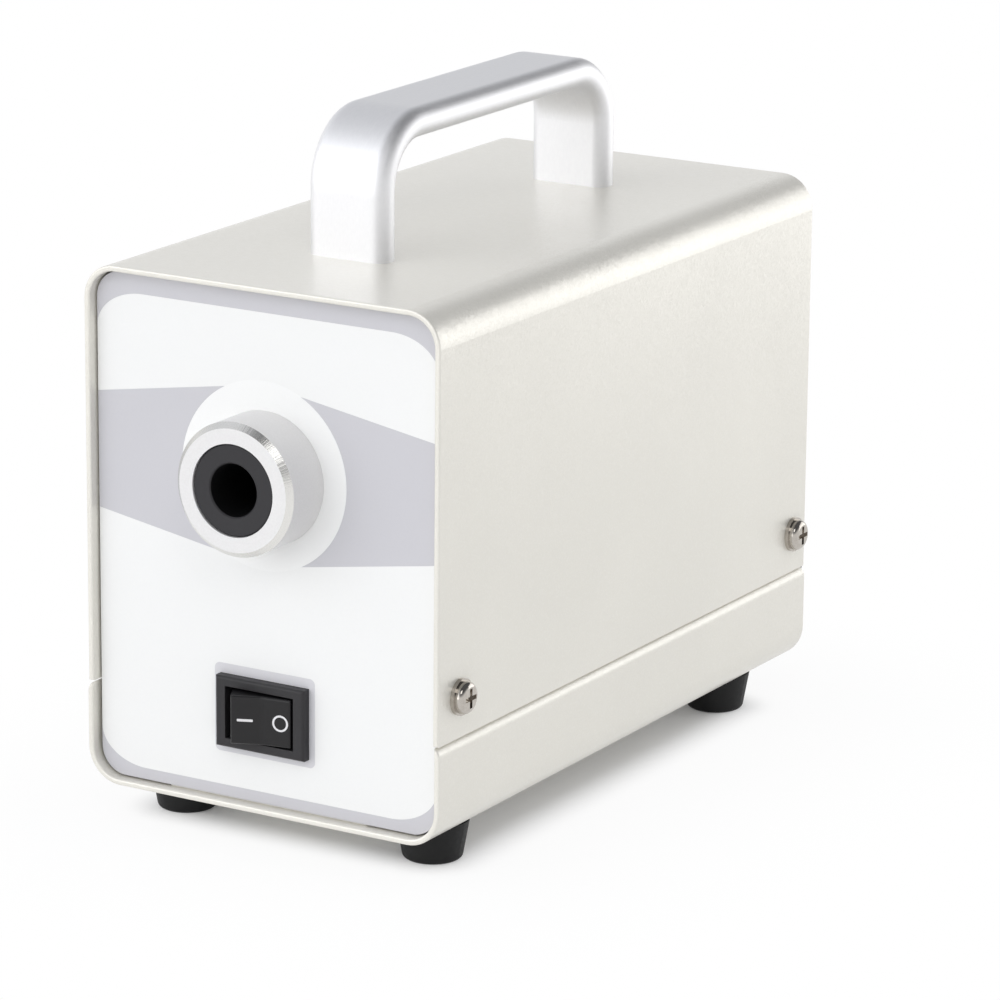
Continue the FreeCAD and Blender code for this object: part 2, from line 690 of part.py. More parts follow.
port_up = tray_under + dim.port_height
boss_face = front_rim - dim.port_reach
neck_end = panel_back + dim.neck_reach
sink_face = neck_end + dim.engine_gap
sink_back = sink_face + dim.sink_base
sink_half = dim.sink_side / 2
sink_low = port_up - sink_half
bracket_top = sink_low + dim.bracket_overlap
bracket_face = sink_face - dim.bracket_sheet
bracket_toe = bracket_face - dim.bracket_foot

lip_half = foot_half - dim.large_nut - dim.lip_nut_gap
lip_screw_half = lip_half - dim.lip_screw_across
lip_screw_front = panel_back + dim.lip_screw_inset
lip_screw_rear = rear_back - dim.lip_screw_inset
lip_screw_spots = [(side * lip_screw_half, along)
                   for side in (-1, 1) for along in (lip_screw_front, lip_screw_rear)]
bracket_floor_spots = [(side * dim.bracket_screw_across, bracket_toe + dim.bracket_foot / 2)
                       for side in (-1, 1)]
bracket_sink_up = sink_low + dim.bracket_overlap / 2
bracket_sink_spots = [(side * dim.bracket_screw_across, bracket_sink_up) for side in (-1, 1)]

fan_up = ceiling - dim.fan_height
fan_screw_spots = [(side * dim.fan_hole_pitch, fan_up + rise * dim.fan_hole_pitch)
                   for side in (-1, 1) for rise in (-1, 1)]
fan_front = rear_back - dim.fan_depth

inlet_middle = dim.inlet_across + dim.inlet_flange_width / 2 - cover_inner
inlet_up = tray_under + dim.inlet_height
inlet_screw_spots = [(inlet_middle + side * dim.inlet_screw_half, inlet_up)
                     for side in (-1, 1)]
inlet_back = rear_face - dim.inlet_body_depth
inlet_front = rear_face + dim.inlet_flange_sheet
pin_end = inlet_back - dim.pin_tail

dimmer_middle = tab_half - dim.panel_sheet - dim.pot_radius - dim.dimmer_across
dimmer_up = tray_under + dim.dimmer_height
knob_low = rear_face + dim.knob_lift
knob_high = rear_rim + dim.knob_reach

switch_middle = -dim.switch_left
switch_up = tray_under + dim.switch_height
bezel_face = film_face - dim.bezel_proud
switch_back = film_face + dim.switch_body_depth
tilt = math.radians(dim.rocker_tilt.value)
rocker_end = dim.rocker_rise + dim.rocker_half * math.tan(math.radians(dim.rocker_dish.value))
pivot_along = (bezel_face + rocker_end * math.cos(tilt) - dim.rocker_half * math.sin(tilt)
               - dim.rocker_proud)

driver_low = tray_floor + dim.standoff_height
driver_top = driver_low + dim.driver_sheet
driver_front = sink_face + dim.driver_front
driver_rear = pin_end - dim.driver_rear
floor_half = tray_half - dim.tray_proud - dim.corner_radius
stud_middle = dim.stud_across + dim.large_nut - floor_half
stud_along = driver_rear - dim.stud_along
driver_half = -stud_middle - dim.large_shank - dim.driver_stud_gap
standoff_half = driver_half - dim.standoff_inset
standoff_spots = [(side * standoff_half, along) for side in (-1, 1)
                  for along in (driver_front + dim.standoff_inset,
                                driver_rear - dim.standoff_inset)]

large_hole = dim.large_shank + dim.hole_gap
small_hole = dim.small_shank + dim.hole_gap


# --- the case ---------------------------------------------------------------------------

def on_a_rim(edge):
    """Whether an edge lies in the plane of the front or rear rim of a shell."""
    box = edge.BoundBox
    return box.YLength < NEAR and min(abs(box.YMin - front_rim.value),
                                      abs(box.YMin - rear_rim.value)) < NEAR


def make_top_cover():
    """Painted steel U, open below and at both ends."""
    body = new_body("top_cover")
    add(body, "XZ", [rounded(-cover_half, cover_half, cover_edge, case_top,
                             high_radius=dim.corner_radius)], front_rim, rear_rim)
    remove(body, "XZ", [rounded(-cover_inner, cover_inner, cover_edge - dim.cut_past, ceiling,
                                high_radius=dim.corner_radius - dim.sheet)],
           front_rim - dim.cut_past, rear_rim + dim.cut_past)
    remove(body, "YZ", [circle(along, side_screw_up, small_hole) for along in side_screw_spots],
           -tray_half, tray_half)
    remove(body, "XY", [circle(dim.handle_across, along, large_hole)
                        for along in handle_screw_spots],
           ceiling - dim.cut_past, case_top + dim.cut_past)
    round_edges(body, dim.rim_round, on_a_rim)
    return node(body, "top_cover")


def make_base_tray():
    """Painted steel tray: floor, sides, a rolled shoulder and a flange inside the cover."""
    body = new_body("base_tray")
    outer_round = dim.corner_radius + dim.tray_proud
    add(body, "XZ", [rounded(-tray_half, tray_half, tray_under, seam, outer_round,
                             dim.shoulder_round)], front_rim, rear_rim)
    flange_front = panel_back + dim.slide_gap
    flange_rear = rear_back - dim.slide_gap
    add(body, "XZ", [rectangle(-flange_half, flange_half, seam - dim.sheet, flange_top)],
        flange_front, flange_rear)
    step = seam - dim.shoulder_round
    before = front_rim - dim.cut_past
    behind = rear_rim + dim.cut_past
    remove(body, "XZ", [rounded(-tray_inner, tray_inner, tray_floor, step,
                                outer_round - dim.sheet)], before, behind)
    open_up = (step - dim.cut_past, flange_top + dim.cut_past)
    remove(body, "XZ", [rectangle(-flange_inner, flange_inner, *open_up)], before, behind)
    for low, high in ((before, flange_front), (flange_rear, behind)):
        remove(body, "XZ", [rectangle(-tray_inner, tray_inner, *open_up)], low, high)
    remove(body, "YZ", [circle(along, side_screw_up, small_hole) for along in side_screw_spots],
           -tray_half, tray_half)
    plain = [circle(across, along, large_hole) for across, along in foot_spots + lip_screw_spots]
    plain += [circle(across, along, small_hole)
              for across, along in bracket_floor_spots + standoff_spots]
    plain.append(circle(stud_middle, stud_along, large_hole))
    through = (tray_under - dim.cut_past, tray_floor + dim.cut_past)
    remove(body, "XY", plain, *through)
    remove(body, "XY", vent_loops(), *through)
    round_edges(body, dim.rim_round, on_a_rim)
    return node(body, "base_tray")


def vent_loops():
    """The row of cooling slots in the tray floor, under the driver board."""
    total = count(dim.vent_slots)
    middle = (driver_front + driver_rear) / 2
    loops = []
    for index in range(total):
        along = middle + (index - (total - 1) / 2) * dim.vent_pitch
        loops.append(rectangle(-dim.vent_half_length, dim.vent_half_length,
                               along - dim.vent_half_width, along + dim.vent_half_width))
    return loops


def panel_outline():
    """A panel between the floor of the tray and the ceiling of the cover."""
    half = cover_inner - dim.panel_gap
    radius = dim.corner_radius - dim.sheet - dim.panel_gap
    return rounded(-half, half, tray_floor + dim.panel_gap, ceiling - dim.panel_gap,
                   radius, radius)


def make_panel(name, outer, inner, plain_holes, screw_along, lip_along):
    """An end panel: plate, two side tabs with tapped holes, one bottom lip."""
    body = new_body(name)
    low = outer if outer.value < inner.value else inner
    high = inner if outer.value < inner.value else outer
    add(body, "XZ", [panel_outline()], low, high)
    inward = 1 if outer.value < inner.value else -1
    reach = inner + inward * dim.tab_depth
    near = inner if inward > 0 else reach
    far = reach if inward > 0 else inner
    tab_low = seam + dim.tab_lift
    tab_high = tab_low + dim.tab_rise
    for side in (-1, 1):
        face = side * tab_half
        back = side * (tab_half - dim.panel_sheet)
        across = (face, back) if side < 0 else (back, face)
        add(body, "XZ", [rectangle(across[0], across[1], tab_low, tab_high)], near, far)
    lip_low = tray_floor
    add(body, "XZ", [rectangle(-lip_half, lip_half, lip_low,
                               lip_low + dim.panel_sheet)], near, far)
    add(body, "XZ", [rectangle(-lip_half, lip_half, lip_low,
                               tray_floor + dim.panel_gap + dim.panel_sheet)], low, high)
    remove(body, "YZ", [circle(screw_along, side_screw_up, dim.small_shank + dim.thread_gap)],
           -tab_half - dim.cut_past, tab_half + dim.cut_past)
    remove(body, "XY", [circle(side * lip_screw_half, lip_along, large_hole)
                        for side in (-1, 1)],
           lip_low - dim.cut_past, lip_low + dim.panel_sheet + dim.cut_past)
    remove(body, "XZ", plain_holes, low - dim.cut_past, high + dim.cut_past)
    return node(body, name)


def around_switch(half, rise):
    """A rectangle about the middle of the switch."""
    return rectangle(switch_middle - half, switch_middle + half,
                     switch_up - rise, switch_up + rise)


def switch_cutout(gap):
    """The rectangular hole that the switch housing passes through."""
    half = dim.switch_body_width / 2 + gap
    rise = dim.switch_body_height / 2 + gap
    return around_switch(half, rise)


def make_front_panel():
    """Front panel with the holes for the port's neck and the switch."""
    holes = [circle(0, port_up, dim.neck_radius + dim.slide_gap), switch_cutout(dim.slide_gap)]
    return make_panel("front_panel", panel_face, panel_back, holes,
                      side_screw_front, lip_screw_front)


def make_rear_panel():
    """Rear panel with the holes for the fan, the inlet, their screws and the dimmer."""
    half = dim.inlet_body_width / 2 + dim.slide_gap
    rise = dim.inlet_body_height / 2 + dim.slide_gap
    holes = [circle(0, fan_up, dim.fan_opening),
             rectangle(inlet_middle - half, inlet_middle + half,
                       inlet_up - rise, inlet_up + rise),
             circle(dimmer_middle, dimmer_up, dim.bush_radius + dim.slide_gap)]
    holes += [circle(across, up, small_hole) for across, up in fan_screw_spots + inlet_screw_spots]
    return make_panel("rear_panel", rear_face, rear_back, holes, side_screw_rear, lip_screw_rear)


def make_front_film():
    """Printed polycarbonate film stuck to the front panel."""
    body = new_body("front_film")
    add(body, "XZ", [panel_outline()], film_face, panel_face)
    remove(body, "XZ", [circle(0, port_up, dim.neck_radius + dim.slide_gap),
                        switch_cutout(dim.slide_gap)],
           film_face - dim.cut_past, panel_face + dim.cut_past)
    return node(body, "front_film")


# --- handle, feet and the case screws ----------------------------------------------------

def make_handle():
    """Flat aluminium bar bent to a U, with tapped holes up its legs."""
    body = new_body("carry_handle")
    front = case_middle - dim.handle_length / 2
    rear = case_middle + dim.handle_length / 2
    top = case_top + dim.handle_height
    half = dim.handle_width / 2
    left = dim.handle_across - half
    right = dim.handle_across + half
    add(body, "YZ", [rectangle(front, rear, case_top, top)], left, right)

    def crossing_at(along, up):
        def chosen(edge):
            middle = edge.CenterOfMass
            on_side = min(abs(middle.y - spot.value) for spot in along) < NEAR
            return runs_along(edge, ALONG_X) and on_side and abs(middle.z - up.value) < NEAR
        return chosen

    round_edges(body, dim.handle_bend, crossing_at((front, rear), top))
    inner = (front + dim.handle_bar, rear - dim.handle_bar)
    under = top - dim.handle_bar
    remove(body, "YZ", [rectangle(inner[0], inner[1], case_top - dim.cut_past, under)],
           left - dim.cut_past, right + dim.cut_past)
    round_edges(body, dim.handle_bend - dim.handle_bar, crossing_at(inner, under))

    def long_edge(edge):
        box = edge.BoundBox
        from_middle = abs(edge.CenterOfMass.x - dim.handle_across.value)
        on_side = abs(from_middle - half.value) < NEAR and box.XLength < NEAR
        return on_side and box.ZMax > case_top.value + NEAR

    round_edges(body, dim.handle_edge, long_edge)
    remove(body, "XY", [circle(dim.handle_across, along, dim.large_shank + dim.thread_gap)
                        for along in handle_screw_spots],
           case_top - dim.cut_past, case_top + dim.handle_thread_depth)
    return node(body, "carry_handle")


def make_handle_screws():
    """Screws from inside the cover up into the handle, each on a wide washer."""
    seat = ceiling - dim.handle_washer_sheet
    length = case_top + dim.handle_thread_depth - dim.thread_room - seat
    screws = []
    washers = []
    for index, along in enumerate(handle_screw_spots):
        body = screw(f"handle_screw_{index}", dim.large_shank, length, dim.large_head,
                     dim.head_height)
        screws.append(put(body, dim.handle_across, along, seat, "-Z"))
        washer = ring(f"handle_washer_{index}", large_hole, dim.handle_washer_radius,
                      0, dim.handle_washer_sheet)
        washers.append(put(washer, dim.handle_across, along, seat))
    group("handle_screws", screws)
    group("handle_washers", washers)


def make_feet():
    """Four tapered rubber feet, each with a screw up into a nut on the tray floor."""
    feet = []
    screws = []
    nuts = []

    def floor_edge(edge):
        middle = edge.CenterOfMass
        rim = isinstance(edge.Curve, Part.Circle) and edge.BoundBox.ZMax < NEAR
        return rim and edge.Curve.Radius > dim.foot_well_radius.value + NEAR and abs(middle.x) < NEAR

    length = dim.foot_height - dim.foot_well_depth + dim.sheet + dim.nut_height + dim.thread_end
    for index, (across, along) in enumerate(foot_spots):
        foot = turned(f"foot_{index}", [
            (large_hole, dim.foot_well_depth), (dim.foot_well_radius, dim.foot_well_depth),
            (dim.foot_well_radius, 0), (dim.foot_bottom_radius, 0),
            (dim.foot_top_radius, dim.foot_height), (large_hole, dim.foot_height)])
        round_edges(foot, dim.foot_round, floor_edge)
        feet.append(put(foot, across, along, 0))
        body = screw(f"foot_screw_{index}", dim.large_shank, length, dim.large_head,
                     dim.head_height)
        screws.append(put(body, across, along, dim.foot_well_depth, "-Z"))
        nut = hex_nut(f"foot_nut_{index}", dim.large_shank, dim.large_nut, dim.nut_height)
        nuts.append(put(nut, across, along, tray_floor))
    group("rubber_feet", feet)
    group("foot_screws", screws)
    group("foot_nuts", nuts)


def make_side_screws():
    """Two screws a side, through cover and tray flange into the panels' tapped tabs."""
    screws = []
    washers = []
    seat = cover_half + dim.side_washer_sheet
    length = seat - tab_half + dim.panel_sheet + dim.thread_end
    for name, side, facing in (("left", -1, "-X"), ("right", 1, "+X")):
        for index, along in enumerate(side_screw_spots):
            body = screw(f"{name}_screw_{index}", dim.small_shank, length, dim.side_head_radius,
                         dim.side_head_height)
            screws.append(put(body, side * seat, along, side_screw_up, facing))
            washer = ring(f"{name}_washer_{index}", small_hole, dim.side_washer_radius,
                          0, dim.side_washer_sheet)
            washers.append(put(washer, side * cover_half, along, side_screw_up, facing))
    group("side_screws", screws)
    group("side_washers", washers)


def make_panel_screws():
    """Screws up through the tray floor and the panels' lips, with their nuts."""
    screws = []
    nuts = []
    length = dim.sheet + dim.panel_sheet + dim.nut_height + dim.thread_end
    for index, (across, along) in enumerate(lip_screw_spots):
        body = screw(f"panel_screw_{index}", dim.large_shank, length, dim.large_head,
                     dim.head_height)
        screws.append(put(body, across, along, tray_under, "-Z"))
        nut = hex_nut(f"panel_nut_{index}", dim.large_shank, dim.large_nut, dim.nut_height)
        nuts.append(put(nut, across, along, tray_floor + dim.panel_sheet))
    group("panel_screws", screws)
    group("panel_nuts", nuts)


# --- light port and light engine -----------------------------------------------------------

def make_light_port():
    """Turned aluminium boss: chamfered face, shoulder on the film, threaded neck."""
    reach = film_face - boss_face
    bore = dim.sleeve_radius + dim.sleeve_gap
    body = turned("light_port", [
        (bore, 0), (dim.boss_radius - dim.boss_chamfer, 0), (dim.boss_radius, dim.boss_chamfer),
        (dim.boss_radius, reach), (dim.neck_radius, reach),
        (dim.neck_radius, neck_end - boss_face), (bore, neck_end - boss_face)])
    put(body, 0, boss_face, port_up, "+Y")
    return node(body, "light_port")


def make_port_sleeve():
    """Black sleeve in the boss: the bore for the light guide, ending in a stop."""
    lead_in = dim.sleeve_recess
    body = turned("port_sleeve", [
        (dim.guide_radius + lead_in, dim.sleeve_recess),
        (dim.sleeve_radius - lead_in, dim.sleeve_recess),
        (dim.sleeve_radius, dim.sleeve_recess + lead_in),
        (dim.sleeve_radius, neck_end - boss_face),
        (dim.stop_radius, neck_end - boss_face),
        (dim.stop_radius, dim.sleeve_recess + lead_in + dim.guide_depth),
        (dim.guide_radius, dim.sleeve_recess + lead_in + dim.guide_depth),
        (dim.guide_radius, dim.sleeve_recess + lead_in)])
    put(body, 0, boss_face, port_up, "+Y")
    return node(body, "port_sleeve")


def make_port_nut():
    """Large nut that clamps the boss to the panel."""
    body = hex_nut("port_nut", dim.neck_radius, dim.port_nut_half, dim.port_nut_height)
    put(body, 0, panel_back, port_up, "+Y")
    return node(body, "port_nut")


def make_lens_holder():
    """Black tube on the heat sink: carries the lens in front of the LED."""
    start = neck_end + dim.holder_start
    length = sink_face - start
    seat = length - dim.lens_stand
    body = turned("lens_holder", [
        (dim.lens_radius + dim.sleeve_gap, 0), (dim.holder_radius, 0),
        (dim.holder_radius, length - dim.holder_flange_sheet),
        (dim.holder_flange, length - dim.holder_flange_sheet),
        (dim.holder_flange, length), (dim.board_well, length),
        (dim.board_well, seat + dim.lens_seat_sheet), (dim.lens_seat, seat + dim.lens_seat_sheet),
        (dim.lens_seat, seat), (dim.lens_radius + dim.sleeve_gap, seat)])
    remove(body, "XY", [circle(side * dim.holder_screws, 0, small_hole) for side in (-1, 1)],
           length - dim.holder_flange_sheet - dim.cut_past, length + dim.cut_past)
    # with its own Z along the axis, the piece's own +Y points down: the slot opens downwards
    remove(body, "XY", [rectangle(-dim.lead_slot, dim.lead_slot, dim.lens_seat,
                                  dim.holder_flange + dim.cut_past)],
           length - dim.holder_flange_sheet + dim.sleeve_gap, length + dim.cut_past)
    put(body, 0, start, port_up, "+Y")
    return node(body, "lens_holder")


def make_condenser_lens():
    """Plano-convex glass lens: a flat-edged disc with a dome towards the port."""
    seat = sink_face - dim.lens_stand
    rim = seat - dim.lens_edge
    disc = rod("lens_disc", dim.lens_radius, dim.lens_edge, 0, seat, port_up, "-Y")
    dome_radius = (dim.lens_dome * dim.lens_dome + dim.lens_crown * dim.lens_crown) / (
        2 * dim.lens_crown)
    ball = doc.addObject("Part::Sphere", "lens_ball")
    bind(ball, "Radius", dome_radius)
    put(ball, 0, rim - dim.lens_crown + dome_radius, port_up)
    reach = rod("lens_reach", dim.lens_dome, dim.lens_crown * 2, 0,
                rim + dim.lens_edge / 2, port_up, "-Y")
    dome = doc.addObject("Part::Common", "lens_dome_shape")
    dome.Base = ball
    dome.Tool = reach
    return node(fused("condenser_lens", [disc, dome]), "condenser_lens")


def make_lens_ring():
    """Threaded ring that holds the lens on its seat."""
    rim = sink_face - dim.lens_stand - dim.lens_edge
    body = ring("lens_ring", dim.lens_dome + dim.sleeve_gap, dim.lens_radius + dim.thread_gap,
                0, dim.ring_height)
    put(body, 0, rim, port_up, "-Y")
    return node(body, "lens_ring")


def make_led():
    """Round LED board, its square package with a clear dome, and two screws."""
    body = new_body("led_board")
    add(body, "XY", [circle(0, 0, dim.board_radius)], 0, dim.led_board_sheet)
    remove(body, "XY", [circle(side * dim.led_board_screws, 0, small_hole) for side in (-1, 1)],
           -dim.cut_past, dim.led_board_sheet + dim.cut_past)
    put(body, 0, sink_face, port_up, "-Y")
    node(body, "led_board")

    board_face = sink_face - dim.led_board_sheet
    chip_face = board_face - dim.led_chip_sheet
    half = dim.led_chip / 2
    package = block("led_package", (-half, half), (chip_face, board_face),
                    (port_up - half, port_up + half))
    ball = doc.addObject("Part::Sphere", "led_ball")
    bind(ball, "Radius", dim.led_dome)
    put(ball, 0, chip_face, port_up)
    front_half = block("led_front", (-half, half), (chip_face - half, chip_face),
                       (port_up - half, port_up + half))
    dome = doc.addObject("Part::Common", "led_dome_shape")
    dome.Base = ball
    dome.Tool = front_half
    node(fused("led_emitter", [package, dome]), "led_emitter")

    screws = []
    for side in (-1, 1):
        body = screw(f"led_screw_{side + 1}", dim.small_shank,
                     dim.led_board_sheet + dim.sink_thread, dim.optics_head, dim.head_height)
        screws.append(put(body, side * dim.led_board_screws, board_face, port_up, "-Y"))
    holder_face = sink_face - dim.holder_flange_sheet
    for side in (-1, 1):
        body = screw(f"holder_screw_{side + 1}", dim.small_shank,
                     dim.holder_flange_sheet + dim.sink_thread, dim.optics_head, dim.head_height)
        screws.append(put(body, side * dim.holder_screws, holder_face, port_up, "-Y"))
    group("optics_screws", screws)


def make_heat_sink():
    """Extruded aluminium heat sink: base plate with fins behind it and tapped holes."""
    body = new_body("heat_sink")
    add(body, "XZ", [rectangle(-sink_half, sink_half, sink_low, sink_low + dim.sink_side)],
        sink_face, sink_back)
    total = count(dim.sink_fins)
    pitch = (dim.sink_side - dim.sink_fin_sheet) / (total - 1)
    fins = []
    for index in range(total):
        left = -sink_half + index * pitch
        fins.append(rectangle(left, left + dim.sink_fin_sheet, sink_low,
                              sink_low + dim.sink_side))
    add(body, "XZ", fins, sink_back, sink_back + dim.sink_fin_length)
    tapped = dim.small_shank + dim.thread_gap
    holes = [circle(side * across, port_up, tapped)
             for side in (-1, 1) for across in (dim.led_board_screws, dim.holder_screws)]
    holes += [circle(across, up, tapped) for across, up in bracket_sink_spots]
    remove(body, "XZ", holes, sink_face - dim.cut_past, sink_back)
    return node(body, "heat_sink")


def make_engine_bracket():
    """Angle of sheet that carries the heat sink on the tray, with a cable window."""
    body = new_body("engine_bracket")
    add(body, "XZ", [rectangle(-dim.bracket_half, dim.bracket_half, tray_floor, bracket_top)],
        bracket_face, sink_face)
    add(body, "XZ", [rectangle(-dim.bracket_half, dim.bracket_half, tray_floor,
                               tray_floor + dim.bracket_sheet)], bracket_toe, bracket_face)
    window = rectangle(-dim.cable_window_half, dim.cable_window_half,
                       tray_floor + dim.cable_window_low, tray_floor + dim.cable_window_high)
    holes = [circle(across, up, small_hole) for across, up in bracket_sink_spots]
    remove(body, "XZ", [window] + holes, bracket_face - dim.cut_past, sink_face + dim.cut_past)
    remove(body, "XY", [circle(across, along, small_hole) for across, along in bracket_floor_spots],
           tray_floor - dim.cut_past, tray_floor + dim.bracket_sheet + dim.cut_past)
    node(body, "engine_bracket")

    screws = []
    nuts = []
    for index, (across, up) in enumerate(bracket_sink_spots):
        body = screw(f"sink_screw_{index}", dim.small_shank,
                     dim.bracket_sheet + dim.sink_thread, dim.small_head, dim.head_height)
        screws.append(put(body, across, bracket_face, up, "-Y"))
    length = dim.sheet + dim.bracket_sheet + dim.nut_height + dim.thread_end
    for index, (across, along) in enumerate(bracket_floor_spots):
        body = screw(f"bracket_screw_{index}", dim.small_shank, length, dim.small_head,
                     dim.head_height)
        screws.append(put(body, across, along, tray_under, "-Z"))
        nut = hex_nut(f"bracket_nut_{index}", dim.small_shank, dim.small_nut, dim.nut_height)
        nuts.append(put(nut, across, along, tray_floor + dim.bracket_sheet))
    group("bracket_screws", screws)
    group("bracket_nuts", nuts)


# --- fan --------------------------------------------------------------------------------

def make_fan_frame():
    """Moulded fan frame with its duct, four spokes and the bearing tube."""
    body = new_body("fan_frame")
    half = dim.fan_side / 2
    add(body, "XY", [rectangle(-half, half, -half, half)], 0, dim.fan_depth)
    remove(body, "XY", [circle(0, 0, dim.fan_duct)], -dim.cut_past, dim.fan_depth + dim.cut_past)
    plate_low = dim.fan_depth - dim.fan_plate
    reach = dim.fan_duct + dim.fan_blade_root
    spoke = dim.fan_spoke_half
    add(body, "XY", [rectangle(-reach, reach, -spoke, spoke)], plate_low, dim.fan_depth)
    add(body, "XY", [rectangle(-spoke, spoke, -reach, reach)], plate_low, dim.fan_depth)
    add(body, "XY", [circle(0, 0, dim.fan_hub)], plate_low, dim.fan_depth)
    add(body, "XY", [circle(0, 0, dim.fan_bearing_radius)],
        plate_low - dim.fan_bearing_length, plate_low)
    remove(body, "XY", [circle(0, 0, dim.fan_shaft + dim.fan_bearing_gap)],
           plate_low - dim.fan_bearing_length - dim.cut_past, dim.fan_depth - dim.fan_plate / 2)
    pitch = dim.fan_hole_pitch
    holes = [circle(side * pitch, rise * pitch, small_hole)
             for side in (-1, 1) for rise in (-1, 1)]
    remove(body, "XY", holes, -dim.cut_past, dim.fan_depth + dim.cut_past)
    put(body, 0, fan_front, fan_up, "+Y")
    return node(body, "fan_frame")


def make_fan_rotor():
    """Rotor: cup-shaped hub over the bearing tube, shaft, and leaning blades."""
    gap = dim.fan_end_gap
    plate_low = dim.fan_depth - dim.fan_plate
    hub_low = gap
    hub_high = plate_low - gap
    well = dim.fan_bearing_radius + gap
    tube_end = plate_low - dim.fan_bearing_length
    shaft_end = plate_low + dim.fan_plate / 2 - dim.fan_shaft_room
    body = turned("fan_rotor", [
        (0, hub_low), (dim.fan_hub, hub_low), (dim.fan_hub, hub_high), (well, hub_high),
        (well, tube_end - gap), (dim.fan_shaft, tube_end - gap),
        (dim.fan_shaft, shaft_end), (0, shaft_end)])
    lean = dim.fan_blade_sweep / 2
    thick = dim.fan_blade_sheet
    section = polygon([(-lean, hub_low + gap), (-lean + thick, hub_low + gap),
                       (lean, hub_high - gap), (lean - thick, hub_high - gap)])
    blade = add(body, "YZ", [section], dim.fan_hub - dim.fan_blade_root,
                dim.fan_duct - dim.fan_tip_gap)
    pattern = body.newObject("PartDesign::PolarPattern", "fan_blades_round")
    pattern.Originals = [blade]
    pattern.Axis = (next(f for f in body.Origin.OriginFeatures if f.Role == "Z_Axis"), [""])
    pattern.Angle = 360
    pattern.Occurrences = count(dim.fan_blades)
    body.Tip = pattern
    doc.recompute()
    put(body, 0, fan_front, fan_up, "+Y")
    return node(body, "fan_rotor")


def make_fan_guard():
    """Welded wire guard: rings on two crossed wires that end in eyes."""
    wire = dim.guard_wire
    low = rear_face + wire
    pieces = []
    corner = dim.fan_hole_pitch * math.sqrt(2)
    length = 2 * (corner - dim.guard_eye)
    for tag, angle in (("rising", 45), ("falling", -45)):
        cross = doc.addObject("Part::Cylinder", f"guard_{tag}")
        bind(cross, "Radius", wire)
        bind(cross, "Height", length)
        turn = FreeCAD.Rotation(ALONG_Y, angle)
        cross.Placement = FreeCAD.Placement(FreeCAD.Vector(0, 0, 0), turn)
        start = length / 2
        bind(cross, "Placement.Base.x", -start * math.sin(math.radians(angle)))
        bind(cross, "Placement.Base.y", low)
        bind(cross, "Placement.Base.z", fan_up - start * math.cos(math.radians(angle)))
        pieces.append(cross)
    for index in range(count(dim.guard_rings)):
        hoop = doc.addObject("Part::Torus", f"guard_ring_{index}")
        bind(hoop, "Radius1", dim.guard_inner + index * dim.guard_pitch)
        bind(hoop, "Radius2", wire)
        pieces.append(put(hoop, 0, low + wire * 2 - dim.guard_weld, fan_up, "+Y"))
    for index, (across, up) in enumerate(fan_screw_spots):
        eye = doc.addObject("Part::Torus", f"guard_eye_{index}")
        bind(eye, "Radius1", dim.guard_eye)
        bind(eye, "Radius2", wire)
        pieces.append(put(eye, across, low, up, "+Y"))
    return node(fused("fan_guard", pieces), "fan_guard")


def make_fan_screws():
    """Four long screws through guard, rear panel and fan frame, with their nuts."""
    screws = []
    nuts = []
    seat = rear_face + dim.guard_wire * 2
    length = seat - fan_front + dim.nut_height + dim.thread_end
    for index, (across, up) in enumerate(fan_screw_spots):
        body = screw(f"fan_screw_{index}", dim.small_shank, length,
                     dim.guard_eye + dim.guard_wire, dim.head_height)
        screws.append(put(body, across, seat, up, "+Y"))
        nut = hex_nut(f"fan_nut_{index}", dim.small_shank, dim.small_nut, dim.nut_height)
        nuts.append(put(nut, across, fan_front, up, "-Y"))
    group("fan_screws", screws)
    group("fan_nuts", nuts)


# --- mains inlet --------------------------------------------------------------------------

def make_mains_inlet():
    """Moulded three-pin inlet: flange with ears, housing, socket."""
    body = new_body("mains_inlet")
    half = dim.inlet_flange_width / 2
    rise = dim.inlet_flange_height / 2
    ear = dim.inlet_ear
    shoulder = dim.inlet_shoulder
    across = inlet_middle
    flange = polygon([
        (across - half, inlet_up - ear), (across - shoulder, inlet_up - rise),
        (across + shoulder, inlet_up - rise), (across + half, inlet_up - ear),
        (across + half, inlet_up + ear), (across + shoulder, inlet_up + rise),
        (across - shoulder, inlet_up + rise), (across - half, inlet_up + ear)])
    add(body, "XZ", [flange], rear_face, inlet_front)
    wide = dim.inlet_body_width / 2
    tall = dim.inlet_body_height / 2
    add(body, "XZ", [rectangle(across - wide, across + wide, inlet_up - tall, inlet_up + tall)],
        inlet_back, rear_face)
    mouth = dim.inlet_socket_width / 2
    gape = dim.inlet_socket_height / 2
    cut_corner = dim.inlet_socket_corner
    socket = polygon([
        (across - mouth, inlet_up - gape), (across + mouth, inlet_up - gape),
        (across + mouth, inlet_up + gape - cut_corner),
        (across + mouth - cut_corner, inlet_up + gape),
        (across - mouth + cut_corner, inlet_up + gape),
        (across - mouth, inlet_up + gape - cut_corner)])
    floor_at = inlet_front - dim.inlet_socket_depth
    remove(body, "XZ", [socket], floor_at, inlet_front + dim.cut_past)
    slots = [pin_outline(spot, dim.slide_gap) for spot in pin_spots()]
    remove(body, "XZ", slots, inlet_back - dim.cut_past, floor_at)
    remove(body, "XZ", [circle(spot, up, small_hole) for spot, up in inlet_screw_spots],
           rear_face - dim.cut_past, inlet_front + dim.cut_past)
    return node(body, "mains_inlet")


def pin_spots():
    """Centres of the three pins: live and neutral low, earth high."""
    return [(inlet_middle - dim.pin_pitch, inlet_up - dim.pin_drop),
            (inlet_middle, inlet_up + dim.pin_drop),
            (inlet_middle + dim.pin_pitch, inlet_up - dim.pin_drop)]


